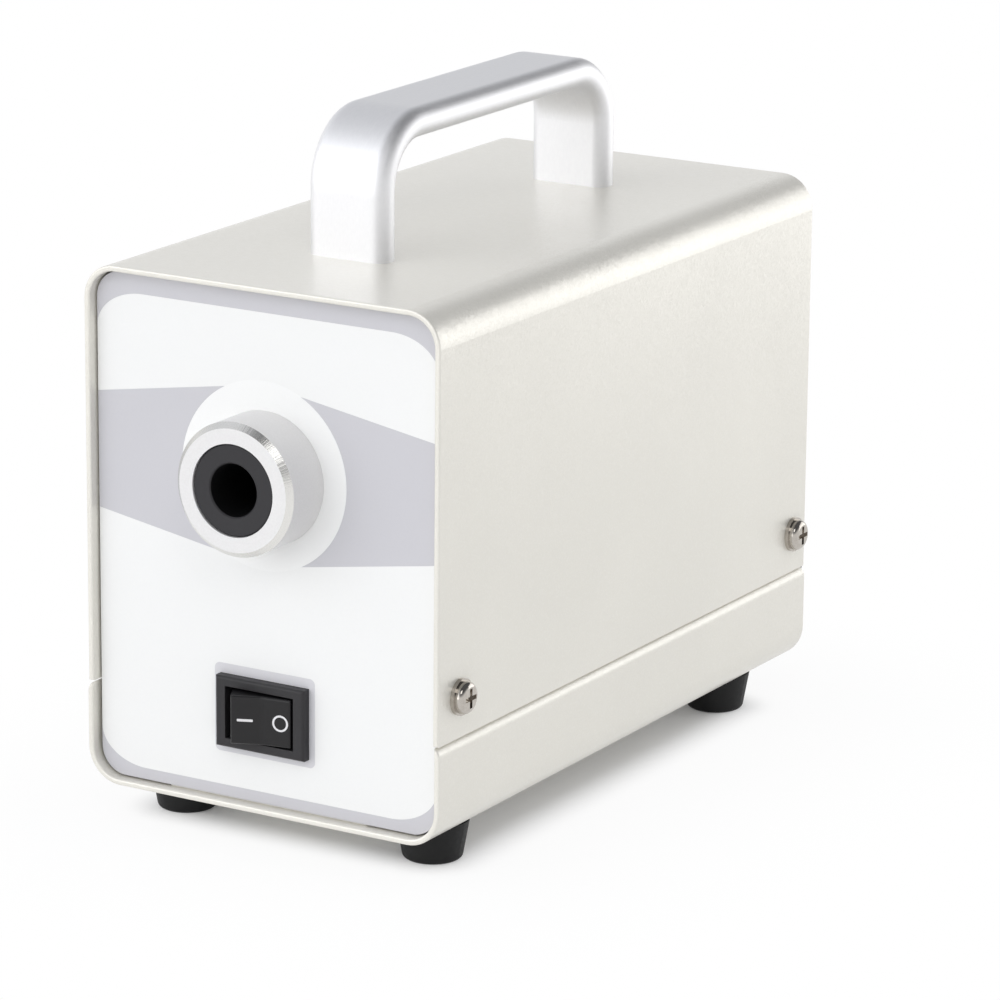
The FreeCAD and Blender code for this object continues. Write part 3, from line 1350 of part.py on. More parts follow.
def pin_outline(spot, gap):
    """Section of one pin, or of its slot when a gap is given."""
    half = dim.pin_sheet / 2 + gap
    rise = dim.pin_wide / 2 + gap
    return rectangle(spot[0] - half, spot[0] + half, spot[1] - rise, spot[1] + rise)


def make_inlet_fittings():
    """Inlet pins with their tails, and the two screws and nuts of the inlet."""
    pins = []
    half = dim.pin_sheet / 2
    rise = dim.pin_wide / 2
    for index, (across, up) in enumerate(pin_spots()):
        pins.append(block(f"inlet_pin_{index}", (across - half, across + half),
                          (pin_end, inlet_front - dim.pin_recess),
                          (up - rise, up + rise)))
    group("inlet_pins", pins)
    screws = []
    nuts = []
    length = inlet_front - rear_back + dim.nut_height + dim.thread_end
    for index, (across, up) in enumerate(inlet_screw_spots):
        body = screw(f"inlet_screw_{index}", dim.small_shank, length, dim.small_head,
                     dim.head_height)
        screws.append(put(body, across, inlet_front, up, "+Y"))
        nut = hex_nut(f"inlet_nut_{index}", dim.small_shank, dim.small_nut, dim.nut_height)
        nuts.append(put(nut, across, rear_back, up, "-Y"))
    group("inlet_screws", screws)
    group("inlet_nuts", nuts)


# --- dimmer -------------------------------------------------------------------------------

def make_dimmer():
    """Potentiometer with its bush through the rear panel, nut, terminals, shaft and knob."""
    bore = dim.spindle_radius + dim.spindle_gap
    bush_end = dim.pot_depth + dim.panel_sheet + dim.bush_reach
    seat = dim.pot_depth - dim.spindle_seat
    body = turned("dimmer", [
        (0, 0), (dim.pot_radius, 0), (dim.pot_radius, dim.pot_depth),
        (dim.bush_radius, dim.pot_depth), (dim.bush_radius, bush_end), (bore, bush_end),
        (bore, seat), (0, seat)])
    pot_back = rear_back - dim.pot_depth
    put(body, dimmer_middle, pot_back, dimmer_up, "+Y")
    node(body, "dimmer")

    nut = hex_nut("dimmer_nut", dim.bush_radius, dim.dimmer_nut_radius, dim.dimmer_nut_height)
    put(nut, dimmer_middle, rear_face, dimmer_up, "+Y")
    node(nut, "dimmer_nut")

    shaft_low = pot_back + seat + dim.hole_gap
    shaft_high = knob_high - dim.knob_top
    shaft = rod("dimmer_shaft", dim.spindle_radius, shaft_high - shaft_low,
                dimmer_middle, shaft_low, dimmer_up, "+Y")
    node(shaft, "dimmer_shaft")

    length = knob_high - knob_low
    hold = length - dim.knob_top - dim.knob_hold
    knob = turned("dimmer_knob", [
        (0, length), (dim.knob_radius - dim.knob_edge, length),
        (dim.knob_radius, length - dim.knob_edge), (dim.knob_radius, 0), (dim.knob_well, 0),
        (dim.knob_well, hold), (dim.spindle_radius, hold),
        (dim.spindle_radius, length - dim.knob_top), (0, length - dim.knob_top)])
    total = count(dim.knob_flutes)
    grooves = []
    for index in range(total):
        angle = 2 * math.pi * (index + 0.5) / total
        grooves.append(circle(dim.knob_radius * math.cos(angle),
                              dim.knob_radius * math.sin(angle), dim.knob_flute_radius))
    remove(knob, "XY", grooves, -dim.cut_past, length - dim.knob_edge * 2)
    put(knob, dimmer_middle, knob_low, dimmer_up, "+Y")
    node(knob, "dimmer_knob")

    tabs = []
    for index in range(3):
        across = dimmer_middle + (index - 1) * dim.pot_tab_pitch
        half = dim.pot_tab_half
        low = dimmer_up - dim.pot_radius - dim.pot_tab_reach
        high = dimmer_up - dim.pot_radius + dim.pot_tab_lap
        along = pot_back - dim.pot_tab_sheet
        tabs.append(block(f"dimmer_tab_{index}", (across - half, across + half),
                          (along, pot_back), (low, high)))
    group("dimmer_terminals", tabs)


# --- rocker switch ---------------------------------------------------------------------------

def make_switch_body():
    """Switch housing with its bezel, the rocker's well and pivot holes."""
    body = new_body("switch_body")
    add(body, "XZ", [around_switch(dim.bezel_width / 2, dim.bezel_height / 2)],
        bezel_face, film_face)

    def bezel_front(edge):
        middle = edge.CenterOfMass
        return abs(middle.y - bezel_face.value) < NEAR

    round_edges(body, dim.bezel_edge, bezel_front)
    add(body, "XZ", [switch_cutout(0)], film_face, switch_back)
    well_floor = pivot_along + dim.rocker_skirt + dim.well_floor_gap
    remove(body, "XZ", [around_switch(dim.well_width / 2, dim.well_height / 2)],
           bezel_face - dim.cut_past, well_floor)
    pin_reach = dim.rocker_height / 2 + dim.rocker_pin_bite + dim.rocker_pin_gap
    remove(body, "XY", [circle(switch_middle, pivot_along, dim.rocker_pin + dim.rocker_pin_gap)],
           switch_up - pin_reach, switch_up + pin_reach)
    return node(body, "switch_body")


def make_switch_rocker():
    """Rocker with two halves that slope to a soft valley, turned to off, on two pivot pins."""
    body = new_body("switch_rocker")
    half = dim.rocker_half
    waist = dim.rocker_waist
    skirt = dim.rocker_skirt_half
    section = polygon([
        (-half, -rocker_end), (0, -dim.rocker_rise), (half, -rocker_end),
        (waist, -dim.rocker_shoulder), (skirt, dim.rocker_skirt),
        (-skirt, dim.rocker_skirt), (-waist, -dim.rocker_shoulder)])
    rise = dim.rocker_height / 2
    add(body, "XY", [section], -rise, rise)

    def in_valley(edge):
        return runs_along(edge, ALONG_Z) and abs(edge.CenterOfMass.x) < NEAR

    def round_face(edge):
        return edge.BoundBox.YMax < NEAR - dim.rocker_rise.value

    round_edges(body, dim.rocker_valley, in_valley)
    round_edges(body, dim.rocker_edge, round_face)
    pin_reach = rise + dim.rocker_pin_bite
    add(body, "XY", [circle(0, 0, dim.rocker_pin)], -pin_reach, -rise)
    add(body, "XY", [circle(0, 0, dim.rocker_pin)], rise, pin_reach)
    turn = FreeCAD.Rotation(ALONG_Z, dim.rocker_tilt.value)
    body.Placement = FreeCAD.Placement(FreeCAD.Vector(0, 0, 0), turn)
    bind(body, "Placement.Base.x", switch_middle)
    bind(body, "Placement.Base.y", pivot_along)
    bind(body, "Placement.Base.z", switch_up)
    return node(body, "switch_rocker")


def make_switch_terminals():
    """Two flat terminals behind the switch."""
    blades = []
    for side in (-1, 1):
        middle = switch_middle + side * dim.blade_pitch
        half = dim.blade_sheet / 2
        rise = dim.blade_wide / 2
        blades.append(block(f"switch_blade_{side + 1}", (middle - half, middle + half),
                            (switch_back, switch_back + dim.blade_length),
                            (switch_up - rise, switch_up + rise)))
    group("switch_terminals", blades)


# --- driver board -----------------------------------------------------------------------------

def make_driver_board():
    """Driver board on hexagon standoffs, screwed from both sides."""
    body = new_body("driver_board")
    add(body, "XY", [rectangle(-driver_half, driver_half, driver_front, driver_rear)],
        driver_low, driver_top)
    remove(body, "XY", [circle(across, along, small_hole) for across, along in standoff_spots],
           driver_low - dim.cut_past, driver_top + dim.cut_past)
    node(body, "driver_board")
    standoffs = []
    screws = []
    for index, (across, along) in enumerate(standoff_spots):
        post = hex_nut(f"standoff_{index}", dim.small_shank, dim.standoff_half,
                       dim.standoff_height)
        standoffs.append(put(post, across, along, tray_floor))
        upper = screw(f"board_screw_{index}", dim.small_shank,
                      dim.driver_sheet + dim.post_thread, dim.small_head, dim.head_height)
        screws.append(put(upper, across, along, driver_top))
        lower = screw(f"floor_screw_{index}", dim.small_shank, dim.sheet + dim.post_thread,
                      dim.small_head, dim.head_height)
        screws.append(put(lower, across, along, tray_under, "-Z"))
    group("board_standoffs", standoffs)
    group("board_screws", screws)


def make_transformer():
    """Ferrite core with its winding in the window."""
    left = dim.core_across - driver_half
    across = (left, left + dim.core_half * 2)
    middle = driver_front + dim.core_along
    along = (middle - dim.core_leg, middle + dim.core_leg)
    window_across = (across[0] + dim.core_leg, across[1] - dim.core_leg)
    window_up = (driver_top + dim.core_yoke, driver_top + dim.core_rise - dim.core_yoke)
    core = doc.addObject("Part::Cut", "core_frame")
    core.Base = block("core_outer", across, along, (driver_top, driver_top + dim.core_rise))
    core.Tool = block("core_window", window_across,
                      (along[0] - dim.core_leg, along[1] + dim.core_leg), window_up)
    gap = dim.winding_gap
    winding = block("winding", (window_across[0] + gap, window_across[1] - gap),
                    (along[0] - dim.core_leg, along[1] + dim.core_leg), window_up)
    group("transformer", [core, winding])


small_can_middle = driver_half - dim.small_can_across


def make_capacitors():
    """Standing electrolytic capacitors: one for the mains side, two for the output."""
    cans = [rod("mains_can", dim.big_can_radius, dim.big_can_height,
                driver_half - dim.big_can_across, driver_front + dim.big_can_along, driver_top)]
    for index in range(2):
        along = driver_rear - dim.small_can_along + index * dim.small_can_pitch
        cans.append(rod(f"output_can_{index}", dim.small_can_radius, dim.small_can_height,
                        small_can_middle, along, driver_top))
    group("capacitors", cans)


def make_choke():
    """Toroidal choke lying on the board."""
    choke = doc.addObject("Part::Torus", "choke")
    bind(choke, "Radius1", dim.choke_radius)
    bind(choke, "Radius2", dim.choke_wound)
    put(choke, dim.choke_across - driver_half, driver_front + dim.choke_along,
        driver_top + dim.choke_wound)
    return node(choke, "choke")


def make_transistor():
    """Switching transistor clamped to a small upright plate, its legs in the board."""
    right = small_can_middle - dim.small_can_radius - dim.plate_right
    face = driver_rear - dim.plate_along
    plate = block("transistor_plate", (right - dim.plate_width, right),
                  (face, face + dim.plate_sheet), (driver_top, driver_top + dim.plate_rise))
    middle = right - dim.plate_width / 2
    case_low = driver_top + dim.chip_low
    case = block("transistor_case", (middle - dim.chip_half, middle + dim.chip_half),
                 (face - dim.chip_depth, face),
                 (case_low, case_low + dim.chip_rise))
    pieces = [plate, case]
    for index in (-1, 0, 1):
        leg = middle + index * dim.chip_half / 2
        half = dim.blade_sheet / 2
        pieces.append(block(f"transistor_leg_{index + 1}", (leg - half, leg + half),
                            (face - dim.chip_depth / 2 - half,
                             face - dim.chip_depth / 2 + half),
                            (driver_top, case_low)))
    return node(fused("transistor", pieces), "transistor")


block_front = driver_front + dim.block_inset
block_rear = driver_rear - dim.block_inset
screw_side = standoff_half - dim.small_head
block_left = dim.block_left + dim.block_half - screw_side
block_right = screw_side - dim.block_right - dim.block_wide_half


def make_terminal_blocks():
    """Screw terminal blocks: one at the front edge of the board, two at the rear edge."""
    up = (driver_top, driver_top + dim.block_rise)
    front = (block_front, block_front + dim.block_depth)
    rear = (block_rear - dim.block_depth, block_rear)
    blocks = []
    for index, (middle, half, along) in enumerate((
            (as_size(0), dim.block_half, front), (block_left, dim.block_half, rear),
            (block_right, dim.block_wide_half, rear))):
        blocks.append(block(f"terminal_block_{index}", (middle - half, middle + half), along, up))
    group("terminal_blocks", blocks)


# --- leads -------------------------------------------------------------------------------------

def numbers(point):
    """A point's three sizes as a vector."""
    return FreeCAD.Vector(*(as_size(part).value for part in point))


def tube(route, radius):
    """A round lead along straight runs joined by tangent arcs."""
    spots = [numbers(point) for point in route]
    edges = []
    start = spots[0]
    length = 0.0
    for before, corner, after in zip(spots, spots[1:], spots[2:]):
        came = corner - before
        goes = after - corner
        turn = came.getAngle(goes)
        reach = 0.45 * min(came.Length, goes.Length)
        bend = reach / math.tan(turn / 2)
        came.normalize()
        goes.normalize()
        arc_start = corner - came * reach
        arc_end = corner + goes * reach
        inward = (goes - came)
        inward.normalize()
        middle = corner + inward * (bend / math.cos(turn / 2) - bend)
        edges.append(Part.LineSegment(start, arc_start).toShape())
        edges.append(Part.Arc(arc_start, middle, arc_end).toShape())
        length += edges[-2].Length + edges[-1].Length
        start = arc_end
    edges.append(Part.LineSegment(start, spots[-1]).toShape())
    length += edges[-1].Length
    path = Part.Wire(edges)
    direction = spots[1] - spots[0]
    section = Part.Wire(Part.makeCircle(radius.value, spots[0], direction))
    shape = path.makePipeShell([section], True, True)
    wanted = math.pi * radius.value ** 2 * length
    if abs(shape.Volume - wanted) > 0.02 * wanted:
        raise ValueError("a lead's volume is not its section times its length")
    return shape


def leads(name, routes, radius):
    """Leads of one kind, each its own solid."""
    piece = doc.addObject("Part::Feature", name)
    piece.Shape = Part.Compound([tube(route, radius) for route in routes])
    return node(piece, name)


def make_leads():
    """Every internal lead, from terminal to terminal; between its ends it lies free."""
    make_mains_leads()
    make_light_leads()


def make_mains_leads():
    """Live, switched live and neutral, and the earth lead."""
    end_gap = dim.lead_end_gap
    tail = pin_end - end_gap
    left, earth, right = pin_spots()
    blade_end = switch_back + dim.blade_length + end_gap
    entry = driver_top + dim.block_rise / 2
    live = switch_middle + dim.blade_pitch + dim.blade_sheet / 2
    switched = switch_middle - dim.blade_pitch - dim.blade_sheet / 2
    leads("mains_leads", [
        # live: from the inlet down under the other leads, along the right wall to the switch
        [(right[0], tail, right[1]), (right[0], tail - 4.4, 25.2), (-2.0, tail - 5.4, 18.0),
         (3.0, tail - 5.6, 13.2), (14.0, tail - 5.0, 12.4), (26.0, tail - 5.8, 12.6),
         (32.2, tail - 14.5, 12.8), (32.7, tail - 32.0, 12.6), (32.3, -5.0, 13.0),
         (32.7, blade_end + 21.0, 12.8), (32.4, blade_end + 9.5, 16.5),
         (28.5, blade_end + 4.4, 21.5), (20.0, blade_end + 3.6, 25.2),
         (11.5, blade_end + 6.4, 27.4), (live, blade_end + 5.6, switch_up),
         (live, blade_end, switch_up)],
        # switched live: through the bracket's window to the front terminal block
        [(switched, blade_end, switch_up), (switched, blade_end + 4.2, switch_up),
         (switched, blade_end + 8.0, entry), (switched, block_front - end_gap, entry)],
        # neutral: to the rear terminal block
        [(left[0], tail, left[1]), (left[0], tail - 4.1, 25.2), (block_left, tail - 5.5, entry),
         (block_left, block_rear + end_gap, entry)],
    ], dim.mains_lead)
    stud_side = stud_along + dim.large_shank + end_gap
    leads("earth_lead", [
        [(earth[0], tail, earth[1]), (earth[0], tail - 4.2, 29.9), (-17.0, tail - 6.5, 29.4),
         (-25.5, tail - 8.5, 25.0), (-30.2, stud_side + 6.6, 19.5),
         (stud_middle, stud_side + 4.3, 14.0), (stud_middle, stud_side, 14.0)],
    ], dim.mains_lead)


def make_light_leads():
    """Pairs to the LED and the fan, and three leads to the dimmer."""
    thin = dim.light_lead
    end_gap = dim.lead_end_gap
    entry = driver_top + dim.block_rise / 2
    on_board = sink_face - dim.led_board_sheet - thin - end_gap / 2
    leads("led_leads", [
        [(side * 1.3, on_board, port_up - 8.0), (side * 1.35, on_board, port_up - 22.0),
         (side * 1.3, bracket_face - 4.0, 39.0), (side * 1.4, bracket_face - 3.8, 28.0),
         (side * 1.3, bracket_face - 0.8, entry), (side * 1.3, block_front - end_gap, entry)]
        for side in (-1, 1)], thin)
    fan_side = dim.fan_lead_across
    fan_exit = fan_up - dim.fan_lead_drop
    leads("fan_leads", [
        [(fan_side + side, fan_front - end_gap, fan_exit),
         (fan_side + side, fan_front - 5.2, 47.6), (13.2 + side, fan_front - 8.2, 39.0),
         (8.0 + side, fan_front - 9.7, 29.0), (5.0 + side, fan_front - 10.5, entry),
         (5.0 + side, block_rear + end_gap, entry)]
        for side in (-1, 1)], thin)
    tab_middle = dimmer_up - dim.pot_radius - dim.pot_tab_reach / 2
    tab_front = rear_back - dim.pot_depth - dim.pot_tab_sheet - end_gap
    tab_pitch = dim.pot_tab_pitch
    leads("dimmer_leads", [
        [(dimmer_middle + index * tab_pitch, tab_front, tab_middle),
         (dimmer_middle + index * tab_pitch, tab_front - 4.7, 18.8),
         (20.6 + index * 3.6, tab_front - 9.9, 19.6), (13.0 + index * 2.8, tab_front - 15.1, 19.8),
         (13.0 + index * 2.8, block_rear + end_gap, 19.8)]
        for index in (-1, 0, 1)], thin)


def make_earth_stud():
    """Stud with its nut, where the earth lead meets the tray."""
    body = screw("earth_bolt", dim.large_shank, dim.sheet + dim.stud_height, dim.large_head,
                 dim.head_height)
    put(body, stud_middle, stud_along, tray_under, "-Z")
    nut = hex_nut("earth_nut", dim.large_shank, dim.large_nut, dim.nut_height)
    put(nut, stud_middle, stud_along, tray_floor)
    group("earth_stud", [body, nut])


def main():
    """Make every piece, test it and write it."""
    make_top_cover()
    make_base_tray()
    make_front_panel()
    make_rear_panel()
    make_front_film()
    make_handle()
    make_handle_screws()
    make_feet()
    make_side_screws()
    make_panel_screws()
    make_light_port()
    make_port_sleeve()
    make_port_nut()
    make_lens_holder()
    make_condenser_lens()
    make_lens_ring()
    make_led()
    make_heat_sink()
    make_engine_bracket()
    make_fan_frame()
    make_fan_rotor()
    make_fan_guard()
    make_fan_screws()
    make_mains_inlet()
    make_inlet_fittings()
    make_dimmer()
    make_switch_body()
    make_switch_rocker()
    make_switch_terminals()
    make_driver_board()
    make_transformer()
    make_capacitors()
    make_choke()
    make_transistor()
    make_terminal_blocks()
    make_earth_stud()
    make_leads()
    doc.recompute()

    for piece in doc.Objects:
        if "Invalid" in piece.State or "Error" in piece.State:
            raise ValueError(f"{piece.Label}: failed to recompute")
    for piece in node_list:
        if piece.Shape.isNull() or not piece.Shape.isValid():
            raise ValueError(f"{piece.Label}: no valid shape")

    os.makedirs("parts", exist_ok=True)
    for piece in node_list:
        piece.Shape.exportStep(f"parts/{piece.Label}.step")
        print(f"{piece.Label}: {len(piece.Shape.Solids)} solid(s)")


main()
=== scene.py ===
import json
import math

import bmesh
import bpy
from bpy.props import FloatProperty, FloatVectorProperty, PointerProperty
from mathutils import Matrix, Vector


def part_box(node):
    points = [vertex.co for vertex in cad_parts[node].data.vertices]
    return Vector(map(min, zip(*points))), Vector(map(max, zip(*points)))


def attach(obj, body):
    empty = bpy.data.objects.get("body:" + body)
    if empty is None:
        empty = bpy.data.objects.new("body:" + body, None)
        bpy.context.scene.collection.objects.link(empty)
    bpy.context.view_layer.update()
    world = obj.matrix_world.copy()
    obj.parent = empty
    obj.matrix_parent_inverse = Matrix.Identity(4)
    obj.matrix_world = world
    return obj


bl_info = {
    "name": "Fiber optic illuminator",
    "version": (1, 0, 0),
    "blender": (4, 5, 0),
    "location": "View3D > Sidebar > Illuminator",
    "description": "Finishes, printed marks and studio of a bench light source",
    "category": "Object",
}

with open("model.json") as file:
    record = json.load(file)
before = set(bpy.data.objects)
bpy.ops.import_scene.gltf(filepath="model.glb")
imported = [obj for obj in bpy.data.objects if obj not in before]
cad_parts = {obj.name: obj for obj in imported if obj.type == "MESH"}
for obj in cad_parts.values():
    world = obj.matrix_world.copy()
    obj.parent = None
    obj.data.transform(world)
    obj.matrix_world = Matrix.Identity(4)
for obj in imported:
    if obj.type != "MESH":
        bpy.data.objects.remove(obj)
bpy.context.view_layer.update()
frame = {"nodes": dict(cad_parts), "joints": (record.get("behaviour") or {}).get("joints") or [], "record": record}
NODES = frame["nodes"]
JOINTS = {joint["name"]: joint for joint in frame["joints"]}
MM = 0.001

# places of the solids that the print and the floor go by, in metres
FILM_LOW, FILM_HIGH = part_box("front_film")
BOSS_LOW, BOSS_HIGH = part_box("light_port")
BEZEL_LOW, BEZEL_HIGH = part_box("switch_body")
KNOB_LOW, KNOB_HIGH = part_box("dimmer_knob")
REAR_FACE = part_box("rear_panel")[1].y
CASE_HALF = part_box("base_tray")[1]
PORT_UP = (BOSS_LOW.z + BOSS_HIGH.z) / 2
BOSS_RADIUS = (BOSS_HIGH.x - BOSS_LOW.x) / 2
SWITCH_UP = (BEZEL_LOW.z + BEZEL_HIGH.z) / 2
KNOB_MIDDLE = (KNOB_LOW + KNOB_HIGH) / 2


def linear(code):
    """An sRGB hex colour in linear light."""
    parts = [int(code[index:index + 2], 16) / 255 for index in (1, 3, 5)]
    return tuple(part / 12.92 if part <= 0.04045 else ((part + 0.055) / 1.055) ** 2.4
                 for part in parts)


def colour(name, code, note):
    """A colour that a user can change."""
    return FloatVectorProperty(name=name, description=note, subtype="COLOR", size=3,
                               min=0.0, max=1.0, default=linear(code))


def length(name, millimetres, note):
    """A length that a user can change."""
    return FloatProperty(name=name, description=note, default=millimetres * MM,
                         unit="LENGTH", precision=5)


# --- sizes and colours that a user would change ---------------------------------------


class PaintLooks(bpy.types.PropertyGroup):
    """Colours of the painted and metal pieces."""

    paint: colour("Paint", "#EAE7DE", "Pearl powder coat of the case")
    fleck: colour("Paint fleck", "#F7F5EE", "Bright flakes in the powder coat")
    panel: colour("Panels", "#DEDCD6", "Flat powder coat of the rear panel")
    handle: colour("Handle", "#F4F4F5", "Clear anodised aluminium of the handle")
    port: colour("Light port", "#ECEBEB", "Blasted aluminium of the light port")
    peel: length("Orange peel", 1.6, "Width of the ripples in the powder coat")


class PrintLooks(bpy.types.PropertyGroup):
    """Printed front film and the dial of the dimmer."""

    white: colour("White field", "#F7F7F5", "White ink of the front film")
    disc: colour("Disc", "#FAFAF8", "Whiter disc round the light port")
    grey: colour("Grey", "#CFCED2", "Grey band and grey strips")
    surround: colour("Switch surround", "#DCDBDE", "Grey patch behind the switch")
    disc_radius: length("Disc radius", 18.6, "Printed disc round the light port")
    disc_left: length("Disc to the left", 0.4, "Disc to the left of the light port's axis")
    disc_up: length("Disc up", 0.25, "Disc above the light port's axis")
    band_edge: length("Band at the edges", 11.6, "Half the band's height at the film's edge")
    band_slope: FloatProperty(name="Band slope", default=0.164,
                              description="How fast the band widens towards the port")
    strip_top: length("Top strip", 3.8, "Grey strip above the white field")
    strip_bottom: length("Bottom strip", 2.25, "Grey strip below the white field")
    corner_wide: length("Corner width", 10.5, "Width of the white field's round corners")
    corner_high: length("Corner height", 7.3, "Height of the white field's round corners")
    patch_wide: length("Patch width", 22.9, "Grey patch behind the switch")
    patch_high: length("Patch height", 17.8, "Height of that patch")
    ink: length("Ink", 0.03, "Thickness of the printed ink")


class StageLooks(bpy.types.PropertyGroup):
    """Camera and lamps."""

    azimuth: FloatProperty(name="Azimuth", default=math.radians(30.87), subtype="ANGLE",
                           description="Camera round to the right of the front")
    elevation: FloatProperty(name="Elevation", default=math.radians(15.41), subtype="ANGLE",
                             description="Camera above the level")
    roll: FloatProperty(name="Roll", default=math.radians(0.51), subtype="ANGLE",
                        description="Camera turned about its own axis")
    distance: length("Distance", 1038.3, "Camera from its target")
    lens: FloatProperty(name="Lens", default=186.31, subtype="DISTANCE_CAMERA",
                        description="Focal length on a 36 mm sensor")
    level: FloatProperty(name="Surroundings", default=0.25, min=0.0,
                         description="Strength of the white surroundings at eye level")
    ceiling: FloatProperty(name="Ceiling", default=0.8, min=0.0,
                           description="Strength of the surroundings overhead")
    glow: FloatProperty(name="Front glow", default=1.6, min=0.0,
                        description="Wide soft light, low before the front and to the left")
    mirrored: FloatProperty(name="Mirrored ceiling", default=0.76, min=0.0,
                            description="Strength of the ceiling as bright metal shows it")
    key: FloatProperty(name="Key lamp", default=1.5, min=0.0, subtype="POWER",
                       description="Soft box above the camera")
    side: FloatProperty(name="Side lamp", default=0.48, min=0.0, subtype="POWER",
                        description="Low strip of light behind, to the right")


# --- shader nodes ---------------------------------------------------------------------

WHITE = (1.0, 1.0, 1.0, 1.0)
BLACK = (0.0, 0.0, 0.0, 1.0)
# a noise keeps almost wholly within these
NOISE_SPAN = {"From Min": 0.3, "From Max": 0.7}


def step(tree, kind, values=None, links=None, **settings):
    """Add one shader node with its settings, socket values and incoming links."""
    made = tree.nodes.new("ShaderNode" + kind)
    for name, value in settings.items():
        setattr(made, name, value)
    for socket, value in (values or {}).items():
        made.inputs[socket].default_value = value
    for socket, source in (links or {}).items():
        tree.links.new(source, made.inputs[socket])
    return made


def finish_base(name, **values):
    """A material with its shader; returns the tree, the shader and the object's own place."""
    material = bpy.data.materials.new(name)
    material.use_nodes = True
    tree = material.node_tree
    tree.nodes.clear()
    shader = step(tree, "BsdfPrincipled",
                  {socket.replace("_", " "): value for socket, value in values.items()})
    step(tree, "OutputMaterial", links={"Surface": shader.outputs["BSDF"]})
    place = step(tree, "TexCoord").outputs["Object"]
    return material, tree, shader, place


def per_metre(millimetres):
    """Texture scale for a pattern that repeats every so many millimetres."""
    return 1000.0 / millimetres


def opaque(shade):
    """A colour with full alpha."""
    return (*tuple(shade)[:3], 1.0)


def squareness(tree):
    """How squarely a surface faces along the port's axis: 1 on an end, 0 on a side."""
    lean = step(tree, "SeparateXYZ", links={0: step(tree, "TexCoord").outputs["Normal"]})
    return step(tree, "Math", links={0: lean.outputs["Y"]}, operation="ABSOLUTE").outputs[0]


def grained(name, dark, light, grain, rough, bump=0.0, stretch=(1.0, 1.0, 1.0), detail=3.0,
            **values):
    """A surface with one grain that varies its colour, roughness and height.

    grain and bump are in millimetres; stretch draws the grain out along an axis.
    """
    material, tree, shader, place = finish_base(name, **values)
    spread = step(tree, "Mapping", {"Scale": stretch}, {"Vector": place})
    noise = step(tree, "TexNoise", {"Scale": per_metre(grain), "Detail": detail,
                                    "Roughness": 0.6}, {"Vector": spread.outputs[0]})
    tint = step(tree, "Mix", {6: opaque(dark), 7: opaque(light)},
                {0: noise.outputs["Fac"]}, data_type="RGBA")
    tree.links.new(tint.outputs[2], shader.inputs["Base Color"])
    sheen = step(tree, "MapRange", {**NOISE_SPAN, "To Min": rough[0], "To Max": rough[1]},
                 {"Value": noise.outputs["Fac"]})
    tree.links.new(sheen.outputs["Result"], shader.inputs["Roughness"])
    if bump:
        relief = step(tree, "Bump", {"Strength": 1.0, "Distance": bump * MM},
                      {"Height": noise.outputs["Fac"]})
        tree.links.new(relief.outputs["Normal"], shader.inputs["Normal"])
    return material


# --- finishes -------------------------------------------------------------------------


def powder_coated_steel(looks):
    """Pearl powder coat: mica flakes under a satin skin with the ripple of a baked coat."""
    material, tree, shader, place = finish_base(
        "pearl_powder_coat_on_steel", IOR=1.5, Metallic=0.35, Coat_Weight=0.3,
        Coat_Roughness=0.2)
    # real flakes are near 0.05 mm; drawn at 0.3 mm, the finest that still shows
    flakes = step(tree, "TexVoronoi", {"Scale": per_metre(0.3)}, {"Vector": place})
    per_flake = step(tree, "SeparateColor", links={0: flakes.outputs["Color"]})
    # half of the flakes are brighter than the paint, by up to a fifth of the fleck colour
    bright = step(tree, "MapRange", {"From Min": 0.5, "From Max": 1.0, "To Max": 0.2},
                  {"Value": per_flake.outputs[0]})
    tint = step(tree, "Mix", {6: opaque(looks.paint), 7: opaque(looks.fleck)},
                {0: bright.outputs["Result"]}, data_type="RGBA")
    # a slow drift of the shade, as a sprayed coat varies in thickness
    drift = step(tree, "TexNoise", {"Scale": per_metre(38.0), "Detail": 1.0},
                 {"Vector": place})
    thin = step(tree, "MapRange", {"From Min": 0.35, "From Max": 0.65, "To Min": 0.975},
                {"Value": drift.outputs["Fac"]})
    shade = step(tree, "VectorMath", links={0: tint.outputs[2], 1: thin.outputs["Result"]},
                 operation="MULTIPLY")
    tree.links.new(shade.outputs[0], shader.inputs["Base Color"])
    ripple = step(tree, "TexNoise", {"Scale": 1.0 / looks.peel, "Detail": 2.0},
                  {"Vector": place})
    sheen = step(tree, "MapRange", {**NOISE_SPAN, "To Min": 0.33, "To Max": 0.40},
                 {"Value": ripple.outputs["Fac"]})
    tree.links.new(sheen.outputs["Result"], shader.inputs["Roughness"])
    relief = step(tree, "Bump", {"Strength": 1.0, "Distance": 0.012 * MM},
                  {"Height": ripple.outputs["Fac"]})
    # each flake lies a little askew, so a highlight breaks up into specks
    middle, tilt = 0.5, 0.12
    askew = step(tree, "VectorMath", {1: (middle,) * 3}, {0: flakes.outputs["Color"]},
                 operation="SUBTRACT")
    lying = step(tree, "VectorMath", {1: (tilt,) * 3},
                 {0: askew.outputs[0], 2: relief.outputs["Normal"]},
                 operation="MULTIPLY_ADD")
    normal = step(tree, "VectorMath", links={0: lying.outputs[0]}, operation="NORMALIZE")
    tree.links.new(normal.outputs[0], shader.inputs["Normal"])
    return material


